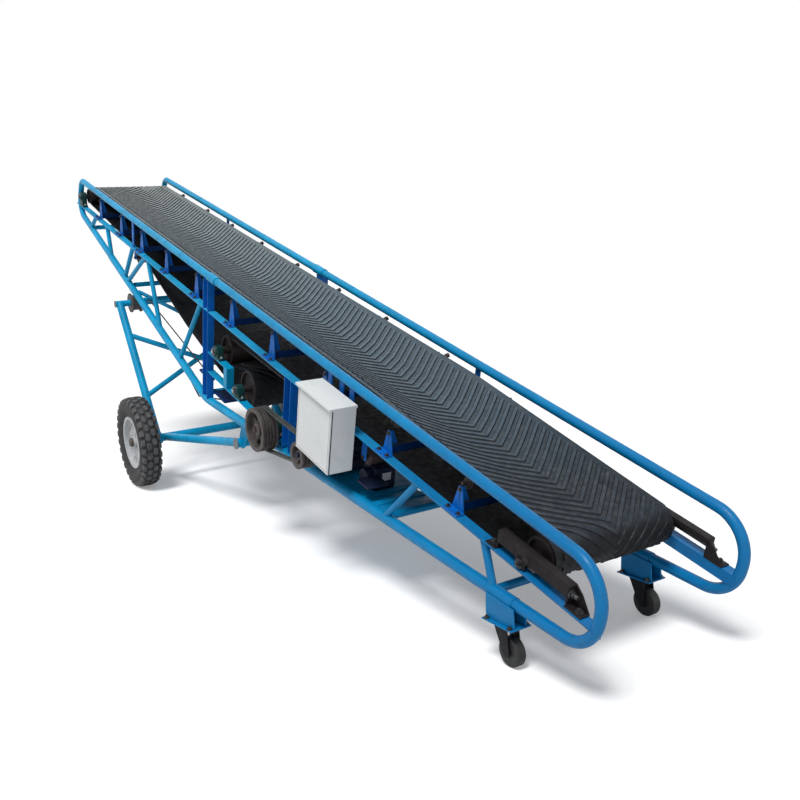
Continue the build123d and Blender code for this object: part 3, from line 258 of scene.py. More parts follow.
def belt_rubber(name, share):
    """The belt: dusty grey at the head, slate in the middle, dark at the tail, partly dust and partly painted
    reflection and shade; painted near-black shade on every face but the carrying run's top.
    """
    shader = Shader(name, 0.6)
    shader.surface.inputs["Specular IOR Level"].default_value = 0.25
    # Painted reflection and shade: lighter toward the head, darker toward the tail
    dust_and_painted_light = shader.ramp(
        shader.levels(shader.along_row(), 0, 1, HEAD_X, TAIL_X),
        (0.0, shade(srgb(120, 124, 124), share)),
        (0.3, shade(srgb(104, 115, 119), share)),
        (0.6, shade(srgb(76, 91, 101), share)),
        (0.82, shade(srgb(57, 71, 82), share)),
        (0.9, shade(srgb(38, 51, 62), share)),
        (0.96, shade(srgb(20, 28, 37), share)),
    )
    streak = shader.noise(6, 7, 0.65, shader.stretched((0.6, 5, 1)))
    dust_and_painted_light = shader.mix(shader.levels(streak, 0, 0.35), dust_and_painted_light, shade(srgb(58, 64, 68), share))
    dust = shader.levels(shader.noise(26, 8, 0.72), 0, 0.16, 0.5, 0.78)
    dust_and_painted_light = shader.mix(dust, dust_and_painted_light, srgb(140, 142, 134))
    # Painted shade: every face but the upward top of the carrying run turns near-black
    normal = shader.tree.nodes.new("ShaderNodeNewGeometry").outputs["Normal"]
    facing_up = shader.levels(shader.upward(normal), 0, 1, 0.6, 0.92)
    level = DECK.translation.dot(DECK_UP)
    high = shader.levels(shader.upward(shader.place), 0, 1, level - 0.125, level - 0.098)
    shader.colour(shader.mix(shader.product(high, facing_up), srgb(11, 13, 18), dust_and_painted_light))
    shader.rough(shader.levels(shader.noise(34, 5), 0.45, 0.75))
    shader.bump(shader.noise(300, 4), 0.3, 0.0008)
    return shader.material


def powder_coat(name, colour):
    """Powder coat with a fine orange peel and a little grime."""
    shader = Shader(name, 0.42)
    base = shader.ramp(shader.noise(5, 4), (0.3, shade(colour, 0.93)), (0.7, colour))
    grime = shader.levels(shader.noise(13, 9, 0.72), 0, 0.3, 0.55, 0.8)
    shader.colour(shader.mix(grime, base, srgb(140, 138, 130)))
    shader.rough(shader.levels(shader.noise(50, 3), 0.36, 0.5))
    shader.bump(shader.noise(380, 2), 0.12, 0.0004)
    return shader.material


def bright_metal(name, colour, roughness=0.28):
    """Turned or plated steel with fine marks."""
    shader = Shader(name, roughness, 1.0)
    base = shader.ramp(shader.noise(31, 6, 0.6), (0.3, shade(colour, 0.7)), (0.7, shade(colour, 1.1)))
    shader.colour(base)
    shader.rough(shader.levels(shader.noise(75, 5), roughness - 0.1, roughness + 0.2))
    shader.bump(shader.noise(500, 3), 0.1, 0.0003)
    return shader.material


# Both azure enamels turn darker toward the tail: painted shade
AZURE = enamel("azure_enamel", srgb(0, 142, 188), tail_shade_colour=srgb(0, 98, 156))
PALE_AZURE = enamel("pale_azure_enamel", srgb(36, 150, 194), tail_shade_colour=srgb(0, 88, 150))
ROYAL = enamel("royal_enamel", srgb(4, 94, 176))
BOX_GREY = powder_coat("box_grey", srgb(212, 214, 213))
# The carcass and the ribs are darker and lighter copies of one rubber: painted shade in the grooves and
# painted light on the ribs
BELT = belt_rubber("belt_rubber", 0.88)
LIT_BELT_RIBS = belt_rubber("lit_belt_rib_rubber", 1.38)
DRUM = dark_steel("drum_steel", srgb(54, 46, 45), 0.55, 0.6)
IRON = dark_steel("sheave_iron", srgb(78, 73, 71), 0.55, 0.4, 0.15)
GREEN = enamel("green_iron", srgb(14, 52, 52), 0.4, 0.4)
TAKEUP = enamel("takeup_paint", srgb(24, 19, 21), 0.15, 0.6)
SHAFT = bright_metal("bright_shaft", srgb(170, 172, 172))
ZINC = bright_metal("zinc_plate", srgb(84, 86, 88), 0.45)
TYRE = plain_rubber("tyre_rubber", srgb(30, 30, 33), 0.78, 0.25)
V_BELT = plain_rubber("v_belt_rubber", srgb(52, 58, 55), 0.65)
DEEP_BLUE = enamel("deep_blue_enamel", srgb(0, 92, 172))
# A navy blue: the guy plates' colour, and on the idler angles a painted shade of their royal paint
NAVY_AND_SHADE = enamel("navy_and_shade_enamel", srgb(2, 44, 96))
TREAD = plain_rubber("tread_rubber", srgb(60, 61, 64), 0.7, 0.45)
CASTOR = plain_rubber("castor_black", srgb(14, 15, 17), 0.55, 0.06)
FORK = enamel("fork_black", srgb(12, 13, 18), 0.2, 0.5)
CAP_GREY = enamel("cap_grey", srgb(112, 116, 120), 0.2, 0.5)
# Painted shade: a darker grey for the line along the door's fold
FOLD_SHADE = powder_coat("box_fold_shade", srgb(120, 122, 124))
SILVER = enamel("silver_enamel", srgb(176, 178, 180), 0.3, 0.35)
MOTOR = enamel("motor_enamel", srgb(14, 24, 48), 0.5, 0.5)

FINISHES = {
    "belt": BELT, "head_pulley": DRUM, "tail_pulley": DRUM, "drive_drum": DRUM, "snub_drum": DRUM,
    "return_rollers": DRUM, "idler_rollers": DRUM, "idler_frames": PALE_AZURE, "idler_brackets": ROYAL,
    "pillow_blocks": GREEN, "counter_shaft": DRUM, "drive_sheave": IRON, "motor_sheave": IRON,
    "v_belts": V_BELT, "motor": MOTOR, "motor_base": AZURE, "chain_case": ROYAL,
    "takeup_frames": TAKEUP, "slide_blocks": SHAFT, "control_box": BOX_GREY, "box_door": BOX_GREY,
    "guide_rollers": IRON, "castor_brackets": DEEP_BLUE, "bearers": AZURE, "roller_hangers": ROYAL,
}
for side in ("near", "far"):
    FINISHES[f"{side}_mid_chord"] = PALE_AZURE
    FINISHES[f"{side}_posts"] = ROYAL
    FINISHES[f"{side}_tyre"] = TYRE
    FINISHES[f"{side}_wheel"] = SILVER
    FINISHES[f"{side}_castor_fork"] = FORK
    FINISHES[f"{side}_castor_wheel"] = CASTOR

for name, node in NODES.items():
    node.data.materials.clear()
    node.data.materials.append(FINISHES.get(name, AZURE))

# Shapes in deck coordinates, in millimetres
MM = 0.001


class Form:
    """A mesh in the making. Its places are s down the slope, y across and n square to the deck."""

    def __init__(self):
        self.mesh = bmesh.new()

    def skin(self, rings, closed=False):
        """Faces between rings of points, with both ends closed unless the rings run in a loop."""
        rows = [[self.mesh.verts.new(point) for point in ring] for ring in rings]
        pairs = list(zip(rows, rows[1:]))
        if closed:
            pairs.append((rows[-1], rows[0]))
        for first, second in pairs:
            for index, corner in enumerate(first):
                onward = (index + 1) % len(first)
                self.mesh.faces.new((corner, first[onward], second[onward], second[index]))
        if not closed:
            self.mesh.faces.new(rows[0][::-1])
            self.mesh.faces.new(rows[-1])

    def side_prism(self, outline, y_from, y_to):
        """An outline of (s, n) points, drawn out across the machine."""
        self.skin([[(s, y, n) for s, n in outline] for y in (y_from, y_to)])

    def cross_prism(self, outline, s_from, s_to):
        """An outline of (y, n) points, drawn out down the slope."""
        self.skin([[(s, y, n) for y, n in outline] for s in (s_from, s_to)])

    def block(self, s_span, y_span, n_span):
        """A plain block."""
        (s0, s1), (n0, n1) = s_span, n_span
        self.side_prism(((s0, n0), (s1, n0), (s1, n1), (s0, n1)), *y_span)

    def bar(self, start, end, radius, sides=20, end_radius=None):
        """A round bar, or with six sides a hexagon."""
        start, end = Vector(start), Vector(end)
        turn = (end - start).to_track_quat("Z", "Y")
        rings = []
        for middle, reach in ((start, radius), (end, end_radius or radius)):
            angles = [math.tau * index / sides for index in range(sides)]
            rings.append([middle + turn @ Vector((math.cos(a), math.sin(a), 0)) * reach for a in angles])
        self.skin(rings)

    def lathe(self, s, n, profile, sides=48):
        """A closed profile of (y, radius) points, turned about a cross axis."""
        angles = [math.tau * index / sides for index in range(sides)]
        self.skin(
            [[(s + r * math.cos(a), y, n + r * math.sin(a)) for a in angles] for y, r in profile],
            closed=True,
        )

    def bolt(self, place, direction, size=9):
        """A hexagon head on a washer, that looks along the direction."""
        place, direction = Vector(place), Vector(direction).normalized()
        self.bar(place, place + direction * size * 0.3, size * 1.45, 16)
        self.bar(place, place + direction * size * 1.0, size, 6)
        self.bar(place, place + direction * size * 1.5, size * 0.5, 10)

    def mirror(self):
        """Adds the same shapes on the other side."""
        geometry = [*self.mesh.verts, *self.mesh.edges, *self.mesh.faces]
        copied = bmesh.ops.duplicate(self.mesh, geom=geometry)
        for item in copied["geom"]:
            if isinstance(item, bmesh.types.BMVert):
                item.co.y = -item.co.y

    def finish(self, name, material, stands_for=(), body="frame", bevel=0.0):
        """The finished piece, in the row's frame, on its body."""
        bmesh.ops.recalc_face_normals(self.mesh, faces=self.mesh.faces)
        for corner in self.mesh.verts:
            corner.co = DECK @ (corner.co * MM)
        for face in self.mesh.faces:
            face.smooth = True
        mesh = bpy.data.meshes.new(name)
        self.mesh.to_mesh(mesh)
        self.mesh.free()
        mesh.set_sharp_from_angle(angle=math.radians(32))
        mesh.materials.append(material)
        piece = bpy.data.objects.new(name, mesh)
        bpy.context.scene.collection.objects.link(piece)
        if bevel:
            edge = piece.modifiers.new("edge", "BEVEL")
            edge.width = bevel * MM
            edge.segments = 2
            edge.limit_method = "ANGLE"
            edge.angle_limit = math.radians(50)
        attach(piece, body)
        if stands_for:
            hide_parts(*stands_for)
        return piece


SIDES = (("near", -1), ("far", 1))
GAUGE_HALF = 380
BOOM_LINE = ((-129, -289), (3002, -866), (6646, -332))
MID_TOP = -220


def half_circle(centre, radius, step, up=1):
    """Points over a centre, or under it with up at -1, every so many degrees."""
    angles = [math.radians(degrees) for degrees in range(0, 181, step)]
    return [(centre[0] + radius * math.cos(a), centre[1] + up * radius * math.sin(a)) for a in angles]


def both_ways(half):
    """A lathe's profile of (y, radius) points for one side, with its mirror image before it."""
    return [(-y, radius) for y, radius in reversed(half)] + list(half)


def boom_n(s):
    """The height of the boom's centre line at s."""
    first, bend, last = BOOM_LINE
    start, end = (first, bend) if s < bend[0] else (bend, last)
    return start[1] + (end[1] - start[1]) * (s - start[0]) / (end[0] - start[0])


# The belt: one loop, laid out flat as u along it and y across it
LANE = 115
FLAT_HALF = 319
TROUGH_EDGE = (310, -17)
BELT_TOP = -78
THICK = 10
HEAD_PULLEY, HEAD_RADIUS = (18, -136), 62
TAIL_PULLEY, TAIL_RADIUS = (6255, -173), 80
TROUGH_ENDS = (200, 5000)
FLATTENING_STEPS = 10
BEND_ROLLER, BEND_RADIUS = (1410, -322), 44
DRIVE_DRUM, DRIVE_RADIUS = (3541, -585), 112
SNUB_DRUM, SNUB_RADIUS = (3200, -448), 92
RETURN_SAG = 45
RIB_PITCH = 53
RIB_REACH = 282
RIB_LEAN = math.radians(50)
RIB_SECTION = ((-16, -1), (16, -1), (10, 6), (-10, 6))
RIB_STATIONS = (0, 40, 80, 115, 155, 200, 240, RIB_REACH)


def contact(centre, radius, heading):
    """Where a belt of this heading meets a wheel, with radius positive for wheels on its left."""
    return (centre[0] + radius * math.sin(heading), centre[1] - radius * math.cos(heading))


def tangent_heading(start, start_radius, end, end_radius):
    """The heading of a belt that runs from one wheel to the next."""
    ds, dn = end[0] - start[0], end[1] - start[1]
    return math.atan2(dn, ds) - math.asin((end_radius - start_radius) / math.hypot(ds, dn))


def return_path():
    """Points of the belt from the tail pulley's top round to the head pulley's, as (s, n, outward)."""
    half = THICK / 2
    span = tangent_heading(BEND_ROLLER, -BEND_RADIUS - half, DRIVE_DRUM, DRIVE_RADIUS + half)
    start = contact(BEND_ROLLER, -BEND_RADIUS - half, span)
    end = contact(DRIVE_DRUM, DRIVE_RADIUS + half, span)
    wide = math.dist(start, end) ** 2 / (12 * RETURN_SAG)
    sag = contact(((start[0] + end[0]) / 2, (start[1] + end[1]) / 2), RETURN_SAG - wide, span)
    wheels = (
        (HEAD_PULLEY, HEAD_RADIUS + half),
        (BEND_ROLLER, -BEND_RADIUS - half),
        (sag, wide),
        (DRIVE_DRUM, DRIVE_RADIUS + half),
        (SNUB_DRUM, -SNUB_RADIUS - half),
        (TAIL_PULLEY, TAIL_RADIUS + half),
    )
    points = []
    heading = math.pi
    for index, (centre, radius) in enumerate(wheels):
        if index + 1 < len(wheels):
            leaving = tangent_heading(centre, radius, *wheels[index + 1])
        else:
            leaving = math.pi
        turn = (leaving - heading) % math.copysign(math.tau, radius)
        steps = max(2, round(abs(turn) / math.radians(7)))
        for step in range(steps + 1):
            angle = heading + turn * step / steps
            s, n = contact(centre, radius, angle)
            points.append((s, n, math.sin(angle), -math.cos(angle)))
        heading = leaving
    return points[::-1]


RETURN_PATH = return_path()
RETURN_LENGTHS = [0.0]
for here, onward in zip(RETURN_PATH, RETURN_PATH[1:]):
    RETURN_LENGTHS.append(RETURN_LENGTHS[-1] + math.dist(here[:2], onward[:2]))
CARRY_LENGTH = TAIL_PULLEY[0] - HEAD_PULLEY[0]
BELT_LENGTH = CARRY_LENGTH + RETURN_LENGTHS[-1]


def trough(s):
    """The middle lane's height and the belt's edge (y, n) on the carrying run at s."""
    if s < TROUGH_ENDS[0]:
        share = (TROUGH_ENDS[0] - s) / (TROUGH_ENDS[0] - HEAD_PULLEY[0])
        flat = HEAD_PULLEY[1] + HEAD_RADIUS + THICK
    else:
        share = max(s - TROUGH_ENDS[1], 0) / (TAIL_PULLEY[0] - TROUGH_ENDS[1])
        flat = TAIL_PULLEY[1] + TAIL_RADIUS + THICK
    lane_n = BELT_TOP + (flat - BELT_TOP) * share
    edge_y = TROUGH_EDGE[0] + (FLAT_HALF - TROUGH_EDGE[0]) * share
    return lane_n, (edge_y, TROUGH_EDGE[1] + (flat - TROUGH_EDGE[1]) * share)


def belt_point(u, y, lift):
    """The point on the belt's outer face at u along and y across, lifted off it."""
    u %= BELT_LENGTH
    if u <= CARRY_LENGTH:
        s = HEAD_PULLEY[0] + u
        lane_n, (edge_y, edge_n) = trough(s)
        if abs(y) <= LANE:
            return (s, y, lane_n + lift)
        share = (abs(y) - LANE) / (FLAT_HALF - LANE)
        side_y = math.copysign(LANE + (edge_y - LANE) * share, y)
        return (s, side_y, lane_n + (edge_n - lane_n) * share + lift)
    u -= CARRY_LENGTH
    index = max(i for i, length in enumerate(RETURN_LENGTHS[:-1]) if length <= u)
    share = (u - RETURN_LENGTHS[index]) / (RETURN_LENGTHS[index + 1] - RETURN_LENGTHS[index])
    here, onward = RETURN_PATH[index], RETURN_PATH[index + 1]
    s, n, out_s, out_n = (a + (b - a) * share for a, b in zip(here, onward))
    rise = THICK / 2 + lift
    return (s + out_s * rise, y, n + out_n * rise)


def make_belt_carcass():
    form = Form()
    stations = [0, TROUGH_ENDS[0] - HEAD_PULLEY[0]]
    stretch = (TAIL_PULLEY[0] - TROUGH_ENDS[1]) / FLATTENING_STEPS
    stations += [TROUGH_ENDS[1] - HEAD_PULLEY[0] + stretch * step for step in range(FLATTENING_STEPS)]
    stations += [CARRY_LENGTH + length for length in RETURN_LENGTHS[:-1]]
    across = (-FLAT_HALF, -LANE, 0, LANE, FLAT_HALF)
    rings = []
    for u in stations:
        top = [belt_point(u, y, 0) for y in across]
        under = [belt_point(u, y, -THICK) for y in reversed(across)]
        rings.append(top + under)
    form.skin(rings, closed=True)
    form.finish("belt_carcass", BELT, ("belt",))


def make_belt_ribs():
    """The V-shaped cleats, each of two bars that lean back from the middle."""
    form = Form()
    count = round(BELT_LENGTH / RIB_PITCH)
    for index in range(count):
        point_u = BELT_LENGTH * index / count
        for side in (-1, 1):
            rings = []
            for reach in RIB_STATIONS:
                rib_u = point_u - reach / math.tan(RIB_LEAN)
                rings.append([belt_point(rib_u + du, side * reach, lift) for du, lift in RIB_SECTION])
            form.skin(rings)
    form.finish("belt_ribs", LIT_BELT_RIBS, ("belt",))


make_belt_carcass()
make_belt_ribs()

# Head pulley, return rollers and their hangers
ROLLER_SHRINK = 0.3
HEAD_HALF = ((418, 0.5), (418, 20), (312, 22), (312, 46), (335, 46), (335, HEAD_RADIUS - ROLLER_SHRINK))
RETURN_HALF = ((362, 0.5), (362, 9), (330, 9), (330, BEND_RADIUS - ROLLER_SHRINK))
RETURN_ROLLERS = (BEND_ROLLER, (5000, -350))
form = Form()
form.lathe(*HEAD_PULLEY, both_ways(HEAD_HALF))
form.finish("head_drum", DRUM, ("head_pulley",))

form = Form()
for s, n in RETURN_ROLLERS:
    form.lathe(s, n, both_ways(RETURN_HALF))
form.finish("return_roller_set", DRUM, ("return_rollers",))

form = Form()
for s, n in RETURN_ROLLERS:
    form.block((s - 20, s + 20), (348, 354), (n - 14, MID_TOP - 6))
form.mirror()
form.finish("hanger_set", ROYAL, ("roller_hangers",), bevel=1)

# Carrying idlers, measured one by one
LOW_FROM = 5215
CREST = -60
LOW_CREST = -108
ROLLER_RADIUS = 30
ROLLER_OFFSET = 30.5
WING_START = 8
WING_END = 206
ANGLE_HALF = 20
ANGLE_REACH = 354
ANGLE_WALL = 5
ANGLE_HEIGHT = 40
INNER_POST_Y = 119
BRACKET_Y = -361
BRACKET_WALL = 6
IDLER_S = (500, 1085, 1605, 2165, 2760, 3360, 3945, 4580, 5215, 5780)
frames, brackets, rollers, nuts = Form(), Form(), Form(), Form()
for s in IDLER_S:
    crest = CREST if s < LOW_FROM else LOW_CREST
    angle_y = (-ANGLE_REACH, ANGLE_REACH)
    edge_s = s + ANGLE_HALF - ANGLE_WALL
    frames.block((s - ANGLE_HALF, s + ANGLE_HALF), angle_y, (MID_TOP, MID_TOP + ANGLE_WALL))
    frames.block((edge_s, s + ANGLE_HALF), angle_y, (MID_TOP, MID_TOP + ANGLE_HEIGHT))
    for y in (-INNER_POST_Y, INNER_POST_Y):
        frames.block((edge_s - 6, edge_s), (y - 3, y + 3), (MID_TOP + ANGLE_WALL, -118))
    plate = ((s - 42, MID_TOP), (s + 42, MID_TOP), (s + 13, crest), (s - 13, crest))
    brackets.side_prism(plate, BRACKET_Y, BRACKET_Y + BRACKET_WALL)
    brackets.block((s - 50, s + 50), (-405, BRACKET_Y), (MID_TOP, MID_TOP + BRACKET_WALL))
    rib_foot = MID_TOP + ANGLE_HEIGHT + 1
    rib = ((BRACKET_Y, rib_foot), (-309, rib_foot), (-341, crest), (BRACKET_Y, crest))
    brackets.cross_prism(rib, s, s + BRACKET_WALL)
    for offset in (-36, 36):
        nuts.bolt((s + offset, -385, MID_TOP + BRACKET_WALL), (0, 0, 1), 8)
    nuts.bolt((s, BRACKET_Y, crest - 12), (0, -1, 0), 8)
    if s < LOW_FROM:
        for side in (-1, 1):
            rollers.bar((s + 88, side * 316, -36), (s + 88, side * 350, -24), 13, 12)
    lane_n, (edge_y, edge_n) = trough(s)
    axis_n = lane_n - THICK - ROLLER_OFFSET
    rollers.bar((s, -107, axis_n), (s, 107, axis_n), ROLLER_RADIUS, 28)
    along = Vector((0, edge_y - LANE, edge_n - lane_n)).normalized()
    out = Vector((0, along.z, -along.y))
    start = Vector((s, LANE, lane_n - THICK)) + out * ROLLER_OFFSET
    for flip in (Vector((1, 1, 1)), Vector((1, -1, 1))):
        wing_end = (start + along * WING_END) * flip
        rollers.bar((start + along * WING_START) * flip, wing_end, ROLLER_RADIUS, 28)
        rollers.bar(start * flip, (start + along * 240) * flip, 9, 12)
        rollers.bar(wing_end, (start + along * (WING_END + 6)) * flip, 20, 20)
brackets.mirror()
nuts.mirror()
# Painted shade: the idler angles take a dark navy for the shade inside the frame
frames.finish("idler_angles", NAVY_AND_SHADE, ("idler_frames",), bevel=1)
brackets.finish("bracket_set", ROYAL, ("idler_brackets",), bevel=1.2)
rollers.finish("roller_set", DRUM, ("idler_rollers",), bevel=2)
nuts.finish("idler_bolts", ZINC)

# Side frame members
POST_HALF = 40
POST_WALL = 5
HEAD_POST_S = 3040
TAIL_POST_S = 4255
RAIL_POST_S = {"near": HEAD_POST_S, "far": 3132}
SLEEVE_S = (3040, 3170)
SLEEVE_RADIUS = 29
BRACE_RADIUS = 17
STRUTS = {"near": (1460, 4673, 4791, 4892), "far": (1507, 4899)}
BRACES = (
    (420, 260), (745, 860), (1444, 1216), (1745, 1290),
    (1809, 2075), (2895, 2490), (5510, 5275), (5990, 6095),
)
for side, sign in SIDES:
    y = sign * GAUGE_HALF
    inner, wall_y, outer = sign * 361, sign * (361 + POST_WALL), sign * 409
    form = Form()
    for s, low_n, high_n in (
        (HEAD_POST_S, boom_n(HEAD_POST_S) + 26, MID_TOP - 5),
        (TAIL_POST_S, boom_n(TAIL_POST_S) + 26, MID_TOP - 5),
        (RAIL_POST_S[side], MID_TOP, -22),
    ):
        web = ((inner, low_n), (wall_y, low_n), (wall_y, high_n), (inner, high_n))
        form.cross_prism(web, s - POST_HALF, s + POST_HALF)
        for edge in (s - POST_HALF, s + POST_HALF - POST_WALL):
            form.block((edge, edge + POST_WALL), sorted((wall_y, outer)), (low_n, high_n))
    for s in STRUTS[side]:
        form.block((s - 20, s + 20), (y - 4, y + 4), (MID_TOP, -20))
    form.finish(f"{side}_post_set", ROYAL, (f"{side}_posts",), bevel=1)
    form = Form()
    for top_s, foot_s in BRACES:
        top, foot = Vector((top_s, y, MID_TOP - 5)), Vector((foot_s, y, boom_n(foot_s)))
        form.bar(top, foot - (foot - top).normalized() * 20, BRACE_RADIUS)
    form.bar((SLEEVE_S[0], y, 0), (SLEEVE_S[1], y, 0), SLEEVE_RADIUS, 28)
    form.finish(f"{side}_brace_set", AZURE, (f"{side}_bracing",))

form = Form()
for s, lift in ((262, 0), (1373, 10), (1625, 10), (2940, 0), (5275, 0), (6095, 0)):
    form.bar((s, -356, boom_n(s) + lift), (s, 356, boom_n(s) + lift), 19)
form.bar((1490, -356, boom_n(1490) + 10), (2800, 356, boom_n(2800) + 10), 15)
form.finish("cross_bars", AZURE, ("cross_tubes",))

# Pillow blocks
COUNTER = (4093, -585)
BEARING_RADIUS = 37
BEARING_OUTER, BEARING_INNER = -402, -358
blocks, nuts = Form(), Form()
for (s, n), seat in ((HEAD_PULLEY, MID_TOP), (SNUB_DRUM, -496), (DRIVE_DRUM, -633), (COUNTER, -633)):
    foot = seat + 16
    outline = half_circle((s, n), BEARING_RADIUS, 30)
    outline += [(s - 44, foot), (s + 44, foot)]
    blocks.side_prism(outline, BEARING_OUTER, BEARING_INNER)
    blocks.block((s - 66, s + 66), (BEARING_OUTER, BEARING_INNER), (seat, foot))
    blocks.bar((s, BEARING_OUTER, n), (s, -410, n), 32, 24, 28)
    for offset in (-54, 54):
        nuts.bolt((s + offset, -GAUGE_HALF, foot), (0, 0, 1), 9)
    nuts.bar((s, -410, n), (s, -416, n), 24, 24)
    nuts.bar((s, -416, n), (s, -424, n), 14, 20)
blocks.mirror()
nuts.mirror()
blocks.finish("bearing_blocks", GREEN, ("pillow_blocks",), bevel=2)
nuts.finish("bearing_bolts", SHAFT)

# Sheaves and the two V-belts in the rear grooves
LARGE_RADIUS = 127
SMALL_RADIUS = 72
SHEAVE_FRONT = -524
SHEAVE_BACK = -430
HUB_FRONT = -512
WEB_FRONT = -494
WEB_BACK = -462
GROOVE_DEPTH = 14
GROOVES_Y = (-505.5, -486.5, -467.5, -448.5)
MOTOR_PLACE = (4621, -493)


def sheave_profile(radius, dish, hub, bore):
    """A grooved rim, a web and a hub, as (y, radius) from the front round to the back."""
    groove = radius - GROOVE_DEPTH
    rim = [(SHEAVE_FRONT, dish), (SHEAVE_FRONT, radius)]
    for y in GROOVES_Y:
        rim += [(y - 7.5, radius), (y - 4, groove), (y + 4, groove), (y + 7.5, radius)]
    rim += [(SHEAVE_BACK, radius), (SHEAVE_BACK, dish), (WEB_BACK, dish - 4), (WEB_BACK, hub)]
    rim += [(SHEAVE_BACK, hub), (SHEAVE_BACK, bore), (HUB_FRONT, bore), (HUB_FRONT, hub)]
    return rim + [(WEB_FRONT, hub), (WEB_FRONT, dish - 4)]


def spoke_outline(angle, inner, outer, half_width):
    """A spoke's (s, n) corners on the counter shaft, wider towards the rim."""
    corners = []
    for reach, side in ((inner, -1), (outer, -1.35), (outer, 1.35), (inner, 1)):
        s = reach * math.cos(angle) - side * half_width * math.sin(angle)
        n = reach * math.sin(angle) + side * half_width * math.cos(angle)
        corners.append((COUNTER[0] + s, COUNTER[1] + n))
    return corners


SPOKES = 5
RIM_INNER = 103
form = Form()
profile = sheave_profile(LARGE_RADIUS, RIM_INNER, 36, 22)
# The profile up to its web is the rim. Its last three rings fold back on each other.
form.lathe(*COUNTER, profile[:-7] + [(SHEAVE_BACK, RIM_INNER)], 64)
form.lathe(*COUNTER, ((-514, 0.5), (-514, 22), (-508, 38), (SHEAVE_BACK, 38), (SHEAVE_BACK, 0.5)), 48)
for index in range(SPOKES):
    angle = math.tau * (index + 0.3) / SPOKES
    form.side_prism(spoke_outline(angle, 30, 106, 23), -492, WEB_BACK)
form.finish("large_sheave", IRON, ("drive_sheave",))

form = Form()
form.lathe(*MOTOR_PLACE, sheave_profile(SMALL_RADIUS, 50, 26, 14), 48)
form.bar((MOTOR_PLACE[0], SHEAVE_BACK, MOTOR_PLACE[1]), (MOTOR_PLACE[0], -514, MOTOR_PLACE[1]), 14, 20)
form.finish("small_sheave", IRON, ("motor_sheave",))

form = Form()
ds, dn = MOTOR_PLACE[0] - COUNTER[0], MOTOR_PLACE[1] - COUNTER[1]
tilt = math.acos((LARGE_RADIUS - SMALL_RADIUS) / math.hypot(ds, dn))
facing = math.atan2(dn, ds)
WRAP_STEPS = 24
for y in GROOVES_Y[2:]:
    rings = []
    for (s, n), radius, start, end in (
        (COUNTER, LARGE_RADIUS, facing + tilt, facing + math.tau - tilt),
        (MOTOR_PLACE, SMALL_RADIUS, facing - tilt, facing + tilt),
    ):
        for step in range(WRAP_STEPS + 1):
            angle = start + (end - start) * step / WRAP_STEPS
            rings.append([
                (s + (radius + rise) * math.cos(angle), y + dy, n + (radius + rise) * math.sin(angle))
                for rise, dy in ((2, -6.5), (2, 6.5), (-8, 4.2), (-8, -4.2))
            ])
    form.skin(rings, closed=True)
form.finish("drive_belts", V_BELT, ("v_belts",))

# Take-up frames: a channel on end plates, with its slide block and screw
TAKEUP_SPAN = (6085, 6490)
TAKEUP_HIGH = -135
FLANGE_LOW = -188
FOOT_TOP = MID_TOP + 7
SLIDE_S = (6205, 6305)
SCREW_Y = -372
SCREW_N = -173
TAKEUP_NEAR, TAKEUP_INNER = -392, -352
form, slides, nuts = Form(), Form(), Form()
form.block(TAKEUP_SPAN, (TAKEUP_NEAR, TAKEUP_INNER), (TAKEUP_HIGH - 7, TAKEUP_HIGH))
for y_span, low_n in (((TAKEUP_NEAR, TAKEUP_NEAR + 6), FLANGE_LOW), ((TAKEUP_INNER - 6, TAKEUP_INNER), -158)):
    form.block(TAKEUP_SPAN, y_span, (low_n, TAKEUP_HIGH - 7))
for s in TAKEUP_SPAN:
    form.block((s - 4, s + 4), (TAKEUP_NEAR + 1, TAKEUP_INNER), (MID_TOP, TAKEUP_HIGH - 1))
for s_span in ((6026, TAKEUP_SPAN[0]), (TAKEUP_SPAN[1], 6576)):
    form.block(s_span, (-402, TAKEUP_INNER), (MID_TOP, FOOT_TOP))
gusset = ((TAKEUP_SPAN[1], TAKEUP_HIGH), (TAKEUP_SPAN[1], FOOT_TOP), (6574, FOOT_TOP), (6528, -160))
form.side_prism(gusset, TAKEUP_INNER - 6, TAKEUP_INNER)
form.block((SLIDE_S[0], 6262), (-400, TAKEUP_NEAR), (FOOT_TOP, -178))
slides.block(SLIDE_S, (-385, -359), (-204, -143))
slides.bar((SLIDE_S[1], SCREW_Y, SCREW_N), (6524, SCREW_Y, SCREW_N), 9, 16)
nuts.bolt((6054, -378, FOOT_TOP), (0, 0, 1), 11)
nuts.bolt((6548, -GAUGE_HALF, FOOT_TOP), (0, 0, 1), 11)
nuts.bolt((6233, -400, -197), (0, -1, 0), 13)
nuts.bolt((6494, SCREW_Y, SCREW_N), (1, 0, 0), 14)
form.mirror()
slides.mirror()
nuts.mirror()
form.finish("tensioner_frames", TAKEUP, ("takeup_frames",), bevel=1.5)
slides.finish("tensioner_slides", ZINC, ("slide_blocks",), bevel=1.5)
nuts.finish("tensioner_bolts", ZINC)

# Motor base: two plates on the near boom with four slide rails
PLATE_NEAR = -352
PLATE_WALL = 8
form = Form()
for start, end, far_y in ((4420, 4990, 40), (4990, 5285, -60)):
    start_n, end_n = boom_n(start) - 4, boom_n(end) - 4
    plate = ((start, start_n), (end, end_n), (end, end_n + PLATE_WALL), (start, start_n + PLATE_WALL))
    form.side_prism(plate, PLATE_NEAR, far_y)
for s in (4560, 5010, 5120, 5250):
    form.block((s, s + 34), (PLATE_NEAR, -62), (boom_n(s) + 2, boom_n(s) + 14))
form.finish("motor_plate", AZURE, ("motor_base",), bevel=1)

